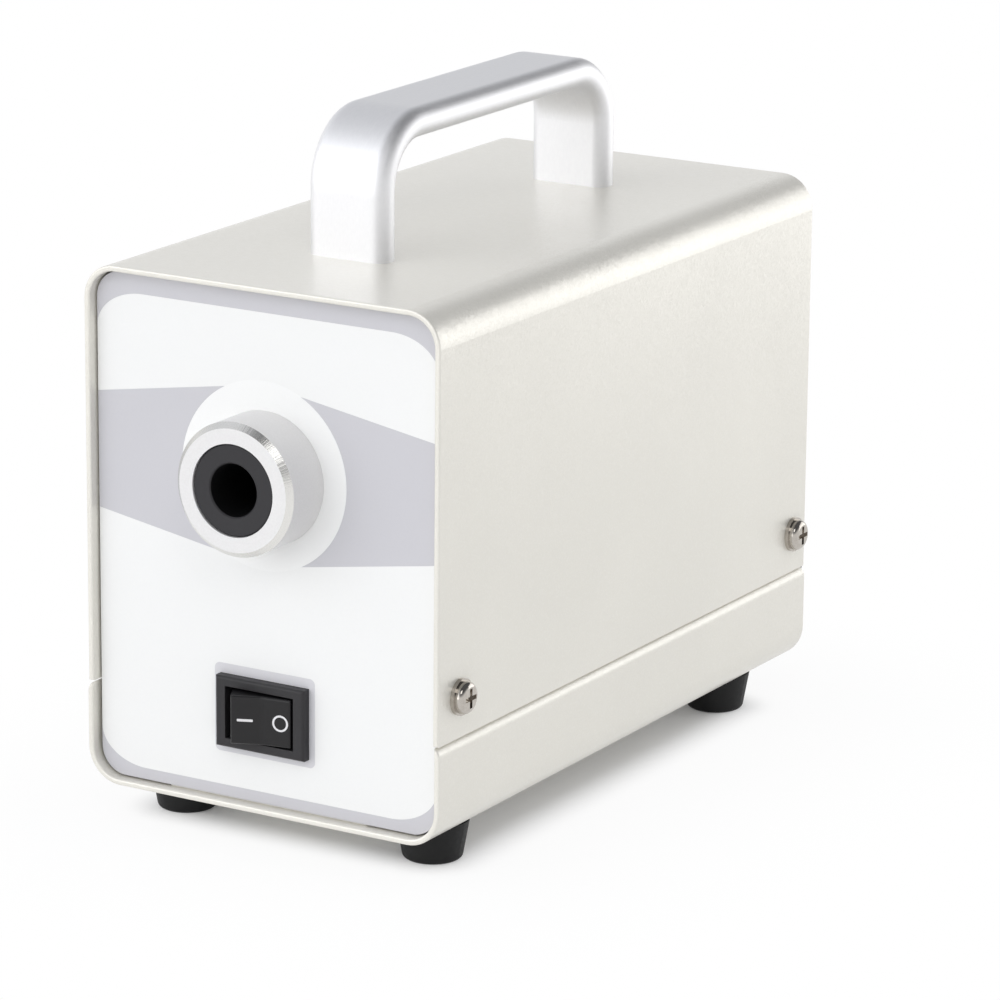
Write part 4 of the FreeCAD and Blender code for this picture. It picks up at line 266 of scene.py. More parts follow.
def blasted_aluminium(looks):
    """Blasted and clear anodised aluminium with a bright turned chamfer round its face."""
    material, tree, shader, place = finish_base("blasted_clear_anodised_aluminium")
    # only the chamfer leans both outwards and forwards, by about 45 degrees
    lean, spare = 0.71, 0.2
    off = step(tree, "Math", {1: lean}, {0: squareness(tree)}, operation="SUBTRACT")
    near = step(tree, "Math", links={0: off.outputs[0]}, operation="ABSOLUTE")
    cut = step(tree, "Math", {1: spare}, {0: near.outputs[0]},
               operation="LESS_THAN").outputs[0]
    grit = step(tree, "TexNoise", {"Scale": per_metre(0.35), "Detail": 3.0},
                {"Vector": place})
    tint = step(tree, "Mix", {6: opaque(linear("#DEDDDC")), 7: opaque(looks.port)},
                {0: grit.outputs["Fac"]}, data_type="RGBA")
    bare = step(tree, "Mix", {7: opaque(linear("#E2E1DE"))}, {0: cut, 6: tint.outputs[2]},
                data_type="RGBA")
    tree.links.new(bare.outputs[2], shader.inputs["Base Color"])
    # blasting scatters light much as a pale powder does; the bare cut is a plain metal
    metal = step(tree, "Mix", {2: 0.4, 3: 1.0}, {0: cut}, data_type="FLOAT")
    tree.links.new(metal.outputs[0], shader.inputs["Metallic"])
    matt = step(tree, "MapRange", {**NOISE_SPAN, "To Min": 0.48, "To Max": 0.58},
                {"Value": grit.outputs["Fac"]})
    sheen = step(tree, "Mix", {3: 0.26}, {0: cut, 2: matt.outputs["Result"]},
                 data_type="FLOAT")
    tree.links.new(sheen.outputs[0], shader.inputs["Roughness"])
    # chatter of the turning tool: fine waves round the chamfer, about 0.5 mm apart
    aside = step(tree, "VectorMath", {1: (0.0, 0.0, PORT_UP)}, {0: place},
                 operation="SUBTRACT")
    apart = step(tree, "SeparateXYZ", links={0: aside.outputs[0]})
    turn = step(tree, "Math", links={0: apart.outputs["Z"], 1: apart.outputs["X"]},
                operation="ARCTAN2")
    chatter = step(tree, "TexNoise", {"Scale": BOSS_RADIUS * per_metre(0.5), "Detail": 3.0,
                                      "Roughness": 0.7}, {"W": turn.outputs[0]},
                   noise_dimensions="1D")
    height = step(tree, "Mix", links={0: cut, 2: grit.outputs["Fac"],
                                      3: chatter.outputs["Fac"]}, data_type="FLOAT")
    depth = step(tree, "Mix", {2: 0.003 * MM, 3: 0.03 * MM}, {0: cut}, data_type="FLOAT")
    relief = step(tree, "Bump", {"Strength": 1.0},
                  {"Height": height.outputs[0], "Distance": depth.outputs[0]})
    tree.links.new(relief.outputs["Normal"], shader.inputs["Normal"])
    return material


def anodised_handle(looks):
    """Etched and clear anodised aluminium: silky, with a faint draw along the bar."""
    return grained("etched_clear_anodised_aluminium", linear("#E9E9EB"), looks.handle,
                   0.45, (0.52, 0.58), bump=0.002, stretch=(1.0, 0.35, 0.35), Metallic=1.0)


def black_anodise():
    """Dyed black anodise: deep, with a grey bloom on turned ends and painted shade, near black, on the walls
    inside a bore.
    """
    material, tree, shader, place = finish_base("black_anodised_aluminium_painted_bore_shade", IOR=1.6,
                                                Specular_IOR_Level=0.3)
    grit = step(tree, "TexNoise", {"Scale": per_metre(0.4), "Detail": 3.0},
                {"Vector": place})
    bloom = step(tree, "Mix", {6: opaque(linear("#212023")), 7: opaque(linear("#2D2C2F"))},
                 {0: grit.outputs["Fac"]}, data_type="RGBA")
    # what faces forwards more than outwards is an end; all else, the walls inside the bore, takes painted shade
    end = step(tree, "Math", {1: 0.7}, {0: squareness(tree)}, operation="GREATER_THAN")
    # painted shade: near black on the bore's walls, where the bore lies in shade
    tint = step(tree, "Mix", {6: opaque(linear("#0C0C0D"))},
                {0: end.outputs[0], 7: bloom.outputs[2]}, data_type="RGBA")
    tree.links.new(tint.outputs[2], shader.inputs["Base Color"])
    sheen = step(tree, "MapRange", {**NOISE_SPAN, "To Min": 0.45, "To Max": 0.56},
                 {"Value": grit.outputs["Fac"]})
    tree.links.new(sheen.outputs["Result"], shader.inputs["Roughness"])
    relief = step(tree, "Bump", {"Strength": 1.0, "Distance": 0.003 * MM},
                  {"Height": grit.outputs["Fac"]})
    tree.links.new(relief.outputs["Normal"], shader.inputs["Normal"])
    return material


def screen_ink(name, shade):
    """Screen ink on polycarbonate film: even, with the tooth of the mesh it went through."""
    darker = tuple(part * 0.965 for part in tuple(shade)[:3])
    return grained(name, darker, shade, 0.45, (0.40, 0.48), bump=0.002, IOR=1.5)


def coat(slot, finish):
    """Give every solid of a material slot its finish."""
    names = [piece["node"] for piece in frame["record"]["subparts"]
             if piece["material_slot"] == slot]
    if not names:
        raise RuntimeError(f"no solid has the slot {slot}")
    for name in names:
        data = NODES[name].data
        data.materials.clear()
        data.materials.append(finish)


# --- thin printed shapes --------------------------------------------------------------


def arc(centre, wide, high, start, end, count=16):
    """Points along part of an ellipse, from one angle in degrees to another."""
    turns = [math.radians(start + (end - start) * index / count)
             for index in range(count + 1)]
    return [(centre[0] + wide * math.cos(turn), centre[1] + high * math.sin(turn))
            for turn in turns]


def circle(centre, radius, count):
    """Points round a whole circle, counter-clockwise."""
    return arc(centre, radius, radius, 0, 360, count)[:-1]


def round_box(centre, wide, high, radius, count=8):
    """A rectangle with round corners, counter-clockwise."""
    points = []
    for side_x, side_y, start in ((1, -1, 270), (1, 1, 0), (-1, 1, 90), (-1, -1, 180)):
        middle = (centre[0] + side_x * (wide / 2 - radius),
                  centre[1] + side_y * (high / 2 - radius))
        points += arc(middle, radius, radius, start, start + 90, count)
    return points


def facing(origin, across, up):
    """The matrix of a face: its own across, up and outward axes."""
    across = Vector(across).normalized()
    up = Vector(up).normalized()
    outward = across.cross(up)
    return Matrix((
        (across.x, up.x, outward.x, origin[0]), (across.y, up.y, outward.y, origin[1]),
        (across.z, up.z, outward.z, origin[2]), (0, 0, 0, 1)))


def print_shape(bm, outer, inner, ink):
    """Add one closed slab of ink, standing on level 0, from an outline and perhaps a hole."""
    loops = [outer] if inner is None else [outer, inner]
    low = [[bm.verts.new((*point, 0.0)) for point in loop] for loop in loops]
    high = [[bm.verts.new((*point, ink)) for point in loop] for loop in loops]
    for bottom, top in zip(low, high):
        for index in range(len(bottom)):
            following = (index + 1) % len(bottom)
            bm.faces.new((bottom[index], bottom[following], top[following], top[index]))
    for level in (low, high):
        if inner is None:
            bm.faces.new(level[0])
            continue
        for index in range(len(outer)):
            following = (index + 1) % len(outer)
            bm.faces.new((level[0][index], level[0][following],
                          level[1][following], level[1][index]))


def printed(name, shapes, ink, placing, finish, body):
    """Slabs of ink as one piece, placed by a matrix and riding on a body."""
    bm = bmesh.new()
    for outer, inner in shapes:
        print_shape(bm, outer, inner, ink)
    bm.transform(placing)
    bmesh.ops.recalc_face_normals(bm, faces=bm.faces[:])
    mesh = bpy.data.meshes.new(name)
    bm.to_mesh(mesh)
    bm.free()
    mesh.materials.append(finish)
    piece = bpy.data.objects.new(name, mesh)
    bpy.context.scene.collection.objects.link(piece)
    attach(piece, body)


# --- operators ------------------------------------------------------------------------


class ILLUMINATOR_OT_case(bpy.types.Operator):
    """Powder coat the cover, the tray and the two panels"""

    bl_idname = "illuminator.case"
    bl_label = "Coat the case"

    def execute(self, context):
        looks = context.scene.illuminator_paint
        coat("case_paint", powder_coated_steel(looks))
        # the same coat without flakes: flat and pale
        coat("panel_metal", grained("powder_coated_aluminium", linear("#D2D0CA"),
                                    looks.panel, 1.4, (0.42, 0.52), bump=0.01, IOR=1.5))
        return {"FINISHED"}


class ILLUMINATOR_OT_handle(bpy.types.Operator):
    """Anodise the carrying handle"""

    bl_idname = "illuminator.handle"
    bl_label = "Finish the handle"

    def execute(self, context):
        coat("handle_metal", anodised_handle(context.scene.illuminator_paint))
        return {"FINISHED"}


class ILLUMINATOR_OT_feet(bpy.types.Operator):
    """Finish the four feet"""

    bl_idname = "illuminator.feet"
    bl_label = "Finish the feet"

    def execute(self, context):
        # moulded rubber: almost black, dull, with a dusty bloom
        coat("foot_rubber", grained("moulded_rubber", linear("#101010"), linear("#1C1C1D"),
                                    0.7, (0.5, 0.66), bump=0.006, IOR=1.52,
                                    Specular_IOR_Level=0.25))
        return {"FINISHED"}


class ILLUMINATOR_OT_fasteners(bpy.types.Operator):
    """Plate the screws, nuts, washers and brackets"""

    bl_idname = "illuminator.fasteners"
    bl_label = "Plate the fasteners"

    def execute(self, context):
        # bright nickel over steel: warm grey mirror, softened by handling
        coat("nickel_steel", grained("nickel_plated_steel", linear("#A8A29B"),
                                     linear("#CBC6BF"), 0.9, (0.05, 0.14), bump=0.001,
                                     Metallic=1.0))
        # clear zinc: cool grey with a blue cast and dull patches
        coat("zinc_steel", grained("zinc_plated_steel", linear("#9EA3A8"),
                                   linear("#C5C8CB"), 1.2, (0.28, 0.45), bump=0.002,
                                   Metallic=1.0))
        return {"FINISHED"}


class ILLUMINATOR_OT_light_port(bpy.types.Operator):
    """Finish the light port with its black sleeve"""

    bl_idname = "illuminator.light_port"
    bl_label = "Finish the light port"

    def execute(self, context):
        coat("port_metal", blasted_aluminium(context.scene.illuminator_paint))
        coat("black_anodised", black_anodise())
        return {"FINISHED"}


class ILLUMINATOR_OT_optics(bpy.types.Operator):
    """Finish the lens and the lamp behind the light port"""

    bl_idname = "illuminator.optics"
    bl_label = "Finish the optics"

    def execute(self, context):
        # crown glass, ground and polished: clear, with sharp reflections
        coat("lens_glass", grained("polished_crown_glass", linear("#F3F8F6"),
                                   linear("#FBFDFC"), 3.0, (0.02, 0.05), IOR=1.52,
                                   Transmission_Weight=1.0))
        # white solder mask on a metal-cored board: smooth and slightly glossy
        coat("board_white", grained("white_solder_mask", linear("#E8E8E4"),
                                    linear("#F4F4F1"), 0.6, (0.3, 0.42), bump=0.002,
                                    IOR=1.55))
        # ceramic package with phosphor under the dome: lemon yellow when unlit
        coat("led_ceramic", grained("phosphor_ceramic", linear("#E6D676"),
                                    linear("#F3E9A6"), 0.6, (0.3, 0.45), IOR=1.6))
        return {"FINISHED"}


class ILLUMINATOR_OT_front_film(bpy.types.Operator):
    """Print the grey band, the strips, the disc and the switch surround on the front film"""

    bl_idname = "illuminator.front_film"
    bl_label = "Print the front film"

    film_corner = 5.45 * MM
    patch_corner = 1.2 * MM
    patch_rise = 0.2 * MM

    def execute(self, context):
        looks = context.scene.illuminator_print
        coat("front_print", screen_ink("screen_printed_polycarbonate_white", looks.white))
        strips = [self.strip(looks, 1), self.strip(looks, -1)]
        bands = [self.band(looks, -1), self.band(looks, 1)]
        # the hole in the disc clears the boss, and the one in the patch clears the bezel
        disc = (-looks.disc_left, PORT_UP + looks.disc_up)
        ring = (circle(disc, looks.disc_radius, 96),
                circle((0.0, PORT_UP), BOSS_RADIUS + looks.ink, 96))
        switch = ((BEZEL_LOW.x + BEZEL_HIGH.x) / 2, SWITCH_UP)
        patch = (round_box((switch[0], switch[1] + self.patch_rise), looks.patch_wide,
                           looks.patch_high, self.patch_corner),
                 round_box(switch, BEZEL_HIGH.x - BEZEL_LOW.x + 2 * looks.ink,
                           BEZEL_HIGH.z - BEZEL_LOW.z + 2 * looks.ink, looks.ink))
        placing = facing((0, FILM_LOW.y, 0), (1, 0, 0), (0, 0, 1))
        for name, shapes, place, shade in (
                ("grey_print", [(shape, None) for shape in strips + bands], "grey",
                 looks.grey),
                ("white_disc", [ring], "disc", looks.disc),
                ("switch_surround", [patch], "surround", looks.surround)):
            finish = screen_ink("screen_printed_polycarbonate_" + place, shade)
            printed(name, shapes, looks.ink, placing, finish, "case")
        return {"FINISHED"}

    def strip(self, looks, side):
        """The grey strip at the top (side 1) or bottom (side -1) of the film."""
        half = FILM_HIGH.x
        edge = FILM_HIGH.z if side > 0 else FILM_LOW.z
        field = edge - side * (looks.strip_top if side > 0 else looks.strip_bottom)
        wide, high = looks.corner_wide, side * looks.corner_high
        foot = field - high
        radius = self.film_corner
        turn = edge - side * radius
        outline = [(-half, foot)]
        outline += arc((-half + radius, turn), radius, side * radius, 180, 90)
        outline += arc((half - radius, turn), radius, side * radius, 90, 0)
        outline += arc((half - wide, foot), wide, high, 0, 90, 32)
        outline += arc((wide - half, foot), wide, high, 90, 180, 32)[:-1]
        return outline

    def band(self, looks, side):
        """The grey band left (side -1) or right (side 1) of the printed disc."""
        radius = looks.disc_radius
        half = FILM_HIGH.x + side * looks.disc_left

        def edge(across):
            return looks.band_edge + (half - across) * looks.band_slope

        # where the edge runs into the disc, closed in on step by step
        meet = radius
        for _ in range(20):
            meet = math.sqrt(radius ** 2 - min(edge(meet), radius) ** 2)
        turn = math.degrees(math.atan2(edge(meet), meet))
        outline = [(half, -edge(half)), (half, edge(half))]
        outline += arc((0.0, 0.0), radius, radius, turn, -turn, 48)
        return [(side * across - looks.disc_left, PORT_UP + looks.disc_up + up)
                for across, up in outline]


class ILLUMINATOR_OT_switch(bpy.types.Operator):
    """Finish the rocker switch and print the dash and the ring on its two halves"""

    bl_idname = "illuminator.switch"
    bl_label = "Finish the switch"

    # how the rocker's face lies: its tilt at rest, the slope of either half towards the
    # middle, and the middle in front of the pivot
    tilt = math.radians(16.0)
    slope = math.radians(7.0)
    middle_rise = 4.8 * MM
    # the marks, and how far along the face they stand from its middle
    dash_wide, dash_high, dash_corner, dash_along = 3.1 * MM, 0.5 * MM, 0.12 * MM, 3.2 * MM
    ring_outer, ring_inner, ring_along = 1.65 * MM, 1.25 * MM, 3.9 * MM
    ink = 0.02 * MM

    def execute(self, context):
        # spark-eroded ABS: a fine even grain that dulls the black
        coat("bezel_plastic", grained("spark_grained_abs", linear("#272628"),
                                      linear("#343335"), 0.35, (0.40, 0.52), bump=0.004,
                                      IOR=1.53, Specular_IOR_Level=0.3))
        # smoother polycarbonate with a soft gloss
        coat("rocker_plastic", grained("moulded_polycarbonate", linear("#111012"),
                                       linear("#171618"), 1.4, (0.30, 0.36), bump=0.001,
                                       IOR=1.58, Specular_IOR_Level=0.3))
        # pad-printed ink: even white, a little softer than the plastic
        white = grained("tampo_printed_white", linear("#DAD9DA"), linear("#EFEEEF"), 0.4,
                        (0.4, 0.5), IOR=1.5)
        middle = (0.0, 0.0)
        dash = (round_box(middle, self.dash_wide, self.dash_high, self.dash_corner), None)
        ring = (circle(middle, self.ring_outer, 48), circle(middle, self.ring_inner, 48))
        for name, side, along, shape in (("rocker_dash", -1, self.dash_along, dash),
                                         ("rocker_ring", 1, self.ring_along, ring)):
            printed(name, [shape], self.ink, self.half_face(side, along), white, "rocker")
        return {"FINISHED"}

    def half_face(self, side, along):
        """A place on one half of the rocker's face at rest."""
        pivot = Vector(JOINTS["power_rocker"]["pos_m"])
        rise = math.tan(self.slope)
        across = Vector((1.0, -side * rise, 0.0)).normalized()
        point = Vector((side * along, -self.middle_rise - along * rise, 0.0))
        turn = Matrix.Rotation(self.tilt, 4, "Z")
        return Matrix.Translation(pivot) @ turn @ facing(point, across, (0, 0, 1))


class ILLUMINATOR_OT_dimmer(bpy.types.Operator):
    """Finish the dimmer, print the dial round it and fill the pointer on its knob"""

    bl_idname = "illuminator.dimmer"
    bl_label = "Finish the dimmer"

    # how many ticks, and how many degrees, from the top of the dial to either stop
    half_ticks = 5
    half_sweep = 150.0
    tick_start, tick_end, long_tick_end = 9.3 * MM, 10.4 * MM, 10.9 * MM
    tick_wide = 0.4 * MM
    pointer_start, pointer_end, pointer_wide = 2.6 * MM, 7.4 * MM, 0.9 * MM

    def execute(self, context):
        ink = context.scene.illuminator_print.ink
        # grained ABS: soft black that takes the shine off its flutes
        coat("knob_plastic", grained("moulded_abs_knob", linear("#1E1E20"),
                                     linear("#29292B"), 0.4, (0.38, 0.5), bump=0.004,
                                     IOR=1.53, Specular_IOR_Level=0.35))
        # pressed and tinned: dull bright steel
        coat("pot_metal", grained("pressed_tinned_steel", linear("#A4A4A0"),
                                  linear("#BFBFBB"), 1.0, (0.3, 0.45), Metallic=1.0))
        # screen ink on powder coat: flat, not quite black
        black = grained("screen_printed_black", linear("#2A2A2C"), linear("#343436"), 0.4,
                        (0.45, 0.55), IOR=1.5)
        ticks = []
        for index in range(2 * self.half_ticks + 1):
            turn = math.radians(self.half_sweep * (1 - index / self.half_ticks))
            end = self.tick_end if index % self.half_ticks else self.long_tick_end
            ticks.append((self.line(turn, self.tick_start, end, self.tick_wide), None))
        printed("dial_ticks", ticks, ink, self.behind(REAR_FACE), black, "case")
        # paint wiped into a groove: white, with a faint unevenness
        white = grained("filled_white_line", linear("#DCDCDC"), linear("#F0F0F0"), 0.4,
                        (0.4, 0.5), IOR=1.5)
        pointer = self.line(math.radians(self.half_sweep), self.pointer_start,
                            self.pointer_end, self.pointer_wide)
        printed("knob_pointer", [(pointer, None)], ink, self.behind(KNOB_HIGH.y), white,
                "knob")
        return {"FINISHED"}

    def behind(self, depth):
        """A face round the knob's axis, seen from behind the case."""
        return facing((KNOB_MIDDLE.x, depth, KNOB_MIDDLE.z), (-1, 0, 0), (0, 0, 1))

    def line(self, turn, inner, outer, wide):
        """A radial line at an angle to the left of straight up."""
        along = Vector((-math.sin(turn), math.cos(turn)))
        aside = Vector((along.y, -along.x)) * wide / 2
        corners = (along * inner + aside, along * inner - aside,
                   along * outer - aside, along * outer + aside)
        return [tuple(corner) for corner in corners]


class ILLUMINATOR_OT_fan(bpy.types.Operator):
    """Finish the fan and its wire guard"""

    bl_idname = "illuminator.fan"
    bl_label = "Finish the fan"

    def execute(self, context):
        # glass-filled PBT: dull black with faint flow marks
        coat("fan_plastic", grained("glass_filled_pbt", linear("#19191B"),
                                    linear("#262628"), 0.9, (0.42, 0.58), bump=0.005,
                                    stretch=(1.0, 1.0, 0.3), IOR=1.55,
                                    Specular_IOR_Level=0.35))
        # chrome over wire: a bright cool mirror
        coat("guard_wire", grained("chrome_plated_wire", linear("#C9CACC"),
                                   linear("#DEDFE0"), 0.9, (0.10, 0.20), Metallic=1.0))
        return {"FINISHED"}


class ILLUMINATOR_OT_inlet(bpy.types.Operator):
    """Finish the mains inlet and its pins"""

    bl_idname = "illuminator.inlet"
    bl_label = "Finish the inlet"

    def execute(self, context):
        # moulded nylon: black with a soft gloss
        coat("inlet_plastic", grained("moulded_nylon", linear("#171719"),
                                      linear("#232325"), 0.5, (0.36, 0.5), bump=0.003,
                                      IOR=1.53, Specular_IOR_Level=0.35))
        # nickel over brass, worn a little yellow
        coat("brass_pins", grained("nickel_plated_brass", linear("#BDB49C"),
                                   linear("#D8D2C2"), 0.8, (0.2, 0.34), Metallic=1.0))
        return {"FINISHED"}


class ILLUMINATOR_OT_driver(bpy.types.Operator):
    """Finish the driver board and what stands on it"""

    bl_idname = "illuminator.driver"
    bl_label = "Finish the driver"

    def execute(self, context):
        # solder mask over glass cloth: glossy green, a little uneven
        coat("board_green", grained("solder_mask_on_glass_epoxy", linear("#0C5430"),
                                    linear("#146B3E"), 0.6, (0.28, 0.4), bump=0.004,
                                    IOR=1.55))
        # sintered ferrite: charcoal with pores
        coat("core_ferrite", grained("sintered_ferrite", linear("#26262A"),
                                     linear("#3B3B3F"), 0.5, (0.5, 0.65), bump=0.008,
                                     IOR=1.8))
        # shrunk PVC sleeve of the capacitors: tight, glossy, dark blue
        coat("can_sleeve", grained("shrunk_pvc_sleeve", linear("#141A2B"),
                                   linear("#1E2740"), 1.0, (0.22, 0.34), bump=0.004,
                                   IOR=1.53))
        # enamelled copper, turn beside turn
        coat("choke_wire", grained("enamelled_copper", linear("#8A3F16"),
                                   linear("#B8632A"), 0.8, (0.2, 0.32), bump=0.02,
                                   stretch=(3.0, 3.0, 0.4), IOR=1.6))
        # epoxy package with its matt moulded face
        coat("transistor_black", grained("moulded_epoxy", linear("#1C1C1E"),
                                         linear("#29292B"), 0.4, (0.45, 0.6), bump=0.004,
                                         IOR=1.55))
        # moulded polyamide of the terminal blocks: mid green, half gloss
        coat("block_green", grained("moulded_polyamide", linear("#1D6B36"),
                                    linear("#2A8247"), 0.6, (0.3, 0.42), bump=0.003,
                                    IOR=1.53))
        # rolled brass of tags and standoffs: yellow, drawn out along the sheet
        coat("terminal_metal", grained("rolled_brass", linear("#B8994F"),
                                       linear("#D6BA74"), 0.6, (0.25, 0.4),
                                       stretch=(1.0, 1.0, 0.3), Metallic=1.0))
        return {"FINISHED"}


class ILLUMINATOR_OT_leads(bpy.types.Operator):
    """Finish the PVC sleeves of the leads"""

    bl_idname = "illuminator.leads"
    bl_label = "Finish the leads"

    def execute(self, context):
        # extruded PVC: smooth and waxy, all through one colour
        coat("mains_insulation", grained("extruded_pvc_brown", linear("#4A2A18"),
                                         linear("#5E3720"), 0.9, (0.3, 0.42), IOR=1.53))
        coat("light_insulation", grained("extruded_pvc_red", linear("#8E1713"),
                                         linear("#A8221C"), 0.9, (0.3, 0.42), IOR=1.53))
        # the same PVC, green with yellow run in
        coat("earth_insulation", grained("extruded_pvc_green_yellow", linear("#3E8A2C"),
                                         linear("#C9BE2A"), 2.2, (0.3, 0.42), detail=0.0,
                                         IOR=1.53))
        return {"FINISHED"}


class ILLUMINATOR_OT_stage(bpy.types.Operator):
    """Lay the floor, hang the lamps and set up the camera"""

    bl_idname = "illuminator.stage"
    bl_label = "Set the stage"

    # places and sizes in metres
    key_place, key_size = (0.62, -0.80, 0.95), (0.5, 0.5)
    side_place, side_size = (0.29, 0.42, 0.16), (0.4, 0.3)
    lamp_target = Vector((0.0, 0.0, 0.06))
    camera_target = Vector((9.14, 0.0, 55.1)) * MM
    sensor_millimetres = 36.0
    floor_half = 6.0
    # a painted glow whitens the floor's shade from this far inside the case's outline: most of it over shade_edge,
    # the rest over shade_tail
    shade_inset = (0.011, 0.0165)
    shade_edge, edge_white = 0.0125, 0.88
    shade_tail, tail_white = 0.08, 0.12
    # the floor's painted glow in full shade and past it
    shade_glow, open_glow = 0.1, 1.0
    # where the front glow comes from, the share of the mirrored ceiling that is left at
    # the right, and the colour of daylight from overhead
    glow_way = Vector((-0.5, -0.85, 0.15)).normalized()
    right_share = 0.18
    daylight = (0.945, 0.96, 1.0, 1.0)

    def execute(self, context):
        looks = context.scene.illuminator_stage
        self.floor(context)
        self.surroundings(context, looks)
        self.soft_box(context, "key_lamp", self.key_place, self.key_size, looks.key)
        self.soft_box(context, "side_lamp", self.side_place, self.side_size, looks.side)
        self.camera(context, looks)
        return {"FINISHED"}

    def floor(self, context):
        """A pale matt floor that keeps the soft shadow under the case, where a painted glow runs out into white.
        """
        material, tree, shader, place = finish_base("matt_white_card", Roughness=0.85)
        fibre = step(tree, "TexNoise", {"Scale": per_metre(2.0), "Detail": 3.0},
                     {"Vector": place})
        tint = step(tree, "Mix", {6: opaque(linear("#EEEEEE")), 7: opaque(linear("#F1F1F1"))},
                    {0: fibre.outputs["Fac"]}, data_type="RGBA")
        # how far a place on the floor is from the middle of the case's shade
        apart = step(tree, "VectorMath", links={0: place}, operation="ABSOLUTE")
        past = step(tree, "VectorMath", {1: (CASE_HALF.x - self.shade_inset[0],
                                             CASE_HALF.y - self.shade_inset[1], 0.0)},
                    {0: apart.outputs[0]}, operation="SUBTRACT")
        outside = step(tree, "VectorMath", {1: (0.0, 0.0, 0.0)}, {0: past.outputs[0]},
                       operation="MAXIMUM")
        reach = step(tree, "VectorMath", links={0: outside.outputs[0]}, operation="LENGTH")
        edge = step(tree, "MapRange", {"From Max": self.shade_edge, "To Max": self.edge_white},
                    {"Value": reach.outputs["Value"]}, interpolation_type="SMOOTHSTEP")
        tail = step(tree, "MapRange", {"From Max": self.shade_tail, "To Max": self.tail_white},
                    {"Value": reach.outputs["Value"]}, interpolation_type="SMOOTHSTEP")
        painted_glow_share = step(tree, "Math", links={0: edge.outputs["Result"], 1: tail.outputs["Result"]},
                   operation="ADD")
        # where it is seen, the card's colour gives way to plain white light: a painted glow that grows away from
        # the case and hides its shadow there
        seen = self.seen(tree)
        white = step(tree, "Math", links={0: painted_glow_share.outputs[0], 1: seen}, operation="MULTIPLY")
        card = step(tree, "Mix", {7: BLACK}, {0: white.outputs[0], 6: tint.outputs[2]},
                    data_type="RGBA")
        tree.links.new(card.outputs[2], shader.inputs["Base Color"])
        glow = step(tree, "Mix", {2: self.shade_glow, 3: self.open_glow},
                    {0: painted_glow_share.outputs[0]}, data_type="FLOAT")
        lift = step(tree, "Math", links={0: glow.outputs[0], 1: seen}, operation="MULTIPLY")
        shader.inputs["Emission Color"].default_value = WHITE
        shader.inputs["Specular IOR Level"].default_value = 0.0
        tree.links.new(lift.outputs[0], shader.inputs["Emission Strength"])
        bm = bmesh.new()
        bmesh.ops.create_grid(bm, x_segments=8, y_segments=8, size=self.floor_half)
        mesh = bpy.data.meshes.new("floor")
        bm.to_mesh(mesh)
        bm.free()
        mesh.materials.append(material)
        floor = bpy.data.objects.new("floor", mesh)
        context.scene.collection.objects.link(floor)

    def seen(self, tree):
        """1 for what the camera sees, straight or in a mirror or through glass; else 0."""
        path = step(tree, "LightPath").outputs
        direct = step(tree, "Math", links={0: path["Is Camera Ray"], 1: path["Is Glossy Ray"]},
                      operation="MAXIMUM")
        return step(tree, "Math", links={0: direct.outputs[0], 1: path["Is Transmission Ray"]},
                    operation="MAXIMUM").outputs[0]

    def surroundings(self, context, looks):
        """Overhead light for matt surfaces, a dim ceiling in mirrors, and white behind."""
        world = bpy.data.worlds.new("white_surroundings")
        world.use_nodes = True
        tree = world.node_tree
        tree.nodes.clear()
        way = step(tree, "TexCoord").outputs["Generated"]
        apart = step(tree, "SeparateXYZ", links={0: way}).outputs
        path = step(tree, "LightPath").outputs
        # what matt surfaces are lit by
        room = step(tree, "MapRange", {"From Max": 0.6, "To Min": looks.level,
                                       "To Max": looks.ceiling}, {"Value": apart["Z"]},
                    interpolation_type="SMOOTHSTEP")
        # what bright metal shows: white low down and a dimmer ceiling, dimmest at the right
        aside = step(tree, "MapRange", {"From Min": -0.4, "From Max": 0.05,
                                        "To Min": looks.mirrored,
                                        "To Max": self.right_share * looks.mirrored},
                     {"Value": apart["X"]}, interpolation_type="SMOOTHSTEP")
        mirrored = step(tree, "MapRange", {"From Min": 0.05, "From Max": 0.55, "To Min": 1.0},
                        {"Value": apart["Z"], "To Max": aside.outputs["Result"]},
                        interpolation_type="SMOOTHSTEP")
        around = step(tree, "Mix", links={0: path["Is Glossy Ray"], 2: room.outputs["Result"],
                                          3: mirrored.outputs["Result"]}, data_type="FLOAT")
        toward = step(tree, "VectorMath", {1: self.glow_way}, {0: way},
                      operation="DOT_PRODUCT")
        glow = step(tree, "MapRange", {"From Min": 0.6, "From Max": 1.0,
                                       "To Max": looks.glow},
                    {"Value": toward.outputs["Value"]}, interpolation_type="SMOOTHSTEP")
        lit = step(tree, "Math", links={0: around.outputs[0], 1: glow.outputs["Result"]},
                   operation="ADD")
        strength = step(tree, "Mix", {3: 1.0}, {0: path["Is Camera Ray"], 2: lit.outputs[0]},
                        data_type="FLOAT")
        # daylight from overhead is a little cooler than the white low down
        high = step(tree, "MapRange", {"From Min": 0.1, "From Max": 0.6},
                    {"Value": apart["Z"]}, interpolation_type="SMOOTHSTEP")
        unseen = step(tree, "Math", {0: 1.0}, {1: path["Is Camera Ray"]},
                      operation="SUBTRACT")
        cooler = step(tree, "Math", links={0: high.outputs["Result"], 1: unseen.outputs[0]},
                      operation="MULTIPLY")
        cast = step(tree, "Mix", {6: WHITE, 7: self.daylight}, {0: cooler.outputs[0]},
                    data_type="RGBA")
        light = step(tree, "Background", links={"Color": cast.outputs[2],
                                                "Strength": strength.outputs[0]})
        step(tree, "OutputWorld", links={"Surface": light.outputs[0]})
        context.scene.world = world

    def soft_box(self, context, name, place, size, power):
        """A soft box that faces the object."""
        lamp = bpy.data.lights.new(name, "AREA")
        lamp.shape = "RECTANGLE"
        lamp.size, lamp.size_y = size
        lamp.energy = power
        holder = bpy.data.objects.new(name, lamp)
        holder.location = place
        aim = self.lamp_target - Vector(place)
        holder.rotation_euler = aim.to_track_quat("-Z", "Y").to_euler()
        context.scene.collection.objects.link(holder)

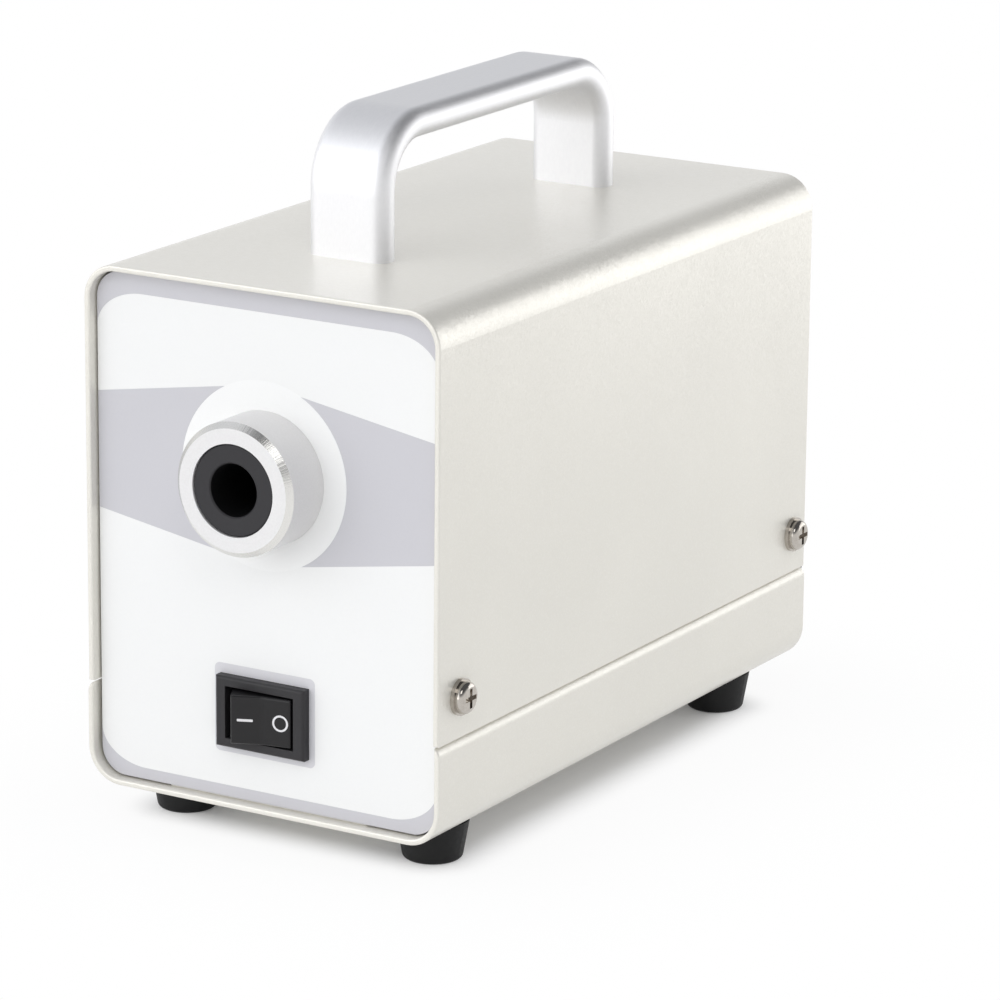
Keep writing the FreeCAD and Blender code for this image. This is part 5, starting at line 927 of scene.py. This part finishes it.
    def camera(self, context, looks):
        """The camera, to the right of the front and a little above."""
        azimuth, elevation, roll = looks.azimuth, looks.elevation, looks.roll
        back = Vector((math.sin(azimuth) * math.cos(elevation),
                       -math.cos(azimuth) * math.cos(elevation), math.sin(elevation)))
        right = Vector((math.cos(azimuth), math.sin(azimuth), 0.0))
        up = back.cross(right)
        across = right * math.cos(roll) + up * math.sin(roll)
        upward = up * math.cos(roll) - right * math.sin(roll)
        lens = bpy.data.cameras.new("camera")
        lens.sensor_width = self.sensor_millimetres
        lens.lens = looks.lens
        camera = bpy.data.objects.new("camera", lens)
        camera.matrix_world = (
            Matrix.Translation(self.camera_target + back * looks.distance)
            @ Matrix((across, upward, back)).transposed().to_4x4())
        context.scene.collection.objects.link(camera)
        context.scene.camera = camera


class ILLUMINATOR_PT_panel(bpy.types.Panel):
    """Everything that dresses the illuminator"""

    bl_label = "Illuminator"
    bl_idname = "ILLUMINATOR_PT_panel"
    bl_space_type = "VIEW_3D"
    bl_region_type = "UI"
    bl_category = "Illuminator"

    def draw(self, context):
        for name in LOOKS:
            looks = getattr(context.scene, name)
            box = self.layout.box()
            for prop in looks.bl_rna.properties:
                if prop.identifier not in ("rna_type", "name"):
                    box.prop(looks, prop.identifier)
        for operator in OPERATORS:
            self.layout.operator(operator.bl_idname)


LOOKS = {"illuminator_paint": PaintLooks, "illuminator_print": PrintLooks,
         "illuminator_stage": StageLooks}
OPERATORS = (ILLUMINATOR_OT_case, ILLUMINATOR_OT_handle, ILLUMINATOR_OT_feet,
             ILLUMINATOR_OT_fasteners, ILLUMINATOR_OT_light_port, ILLUMINATOR_OT_optics,
             ILLUMINATOR_OT_front_film, ILLUMINATOR_OT_switch, ILLUMINATOR_OT_dimmer,
             ILLUMINATOR_OT_fan, ILLUMINATOR_OT_inlet, ILLUMINATOR_OT_driver,
             ILLUMINATOR_OT_leads, ILLUMINATOR_OT_stage)


def register():
    """Register the property groups, the operators and the panel."""
    for name, looks in LOOKS.items():
        bpy.utils.register_class(looks)
        setattr(bpy.types.Scene, name, PointerProperty(type=looks))
    for each in (*OPERATORS, ILLUMINATOR_PT_panel):
        bpy.utils.register_class(each)


def unregister():
    """Remove them again."""
    for each in (ILLUMINATOR_PT_panel, *reversed(OPERATORS)):
        bpy.utils.unregister_class(each)
    for name, looks in LOOKS.items():
        delattr(bpy.types.Scene, name)
        bpy.utils.unregister_class(looks)


def main():
    """Dress the illuminator and set the stage."""
    register()
    bpy.context.scene.view_settings.view_transform = "Standard"
    bpy.ops.illuminator.case()
    bpy.ops.illuminator.handle()
    bpy.ops.illuminator.feet()
    bpy.ops.illuminator.fasteners()
    bpy.ops.illuminator.light_port()
    bpy.ops.illuminator.optics()
    bpy.ops.illuminator.front_film()
    bpy.ops.illuminator.switch()
    bpy.ops.illuminator.dimmer()
    bpy.ops.illuminator.fan()
    bpy.ops.illuminator.inlet()
    bpy.ops.illuminator.driver()
    bpy.ops.illuminator.leads()
    bpy.ops.illuminator.stage()
    bpy.context.view_layer.update()


if __name__ == "__main__":
    main()
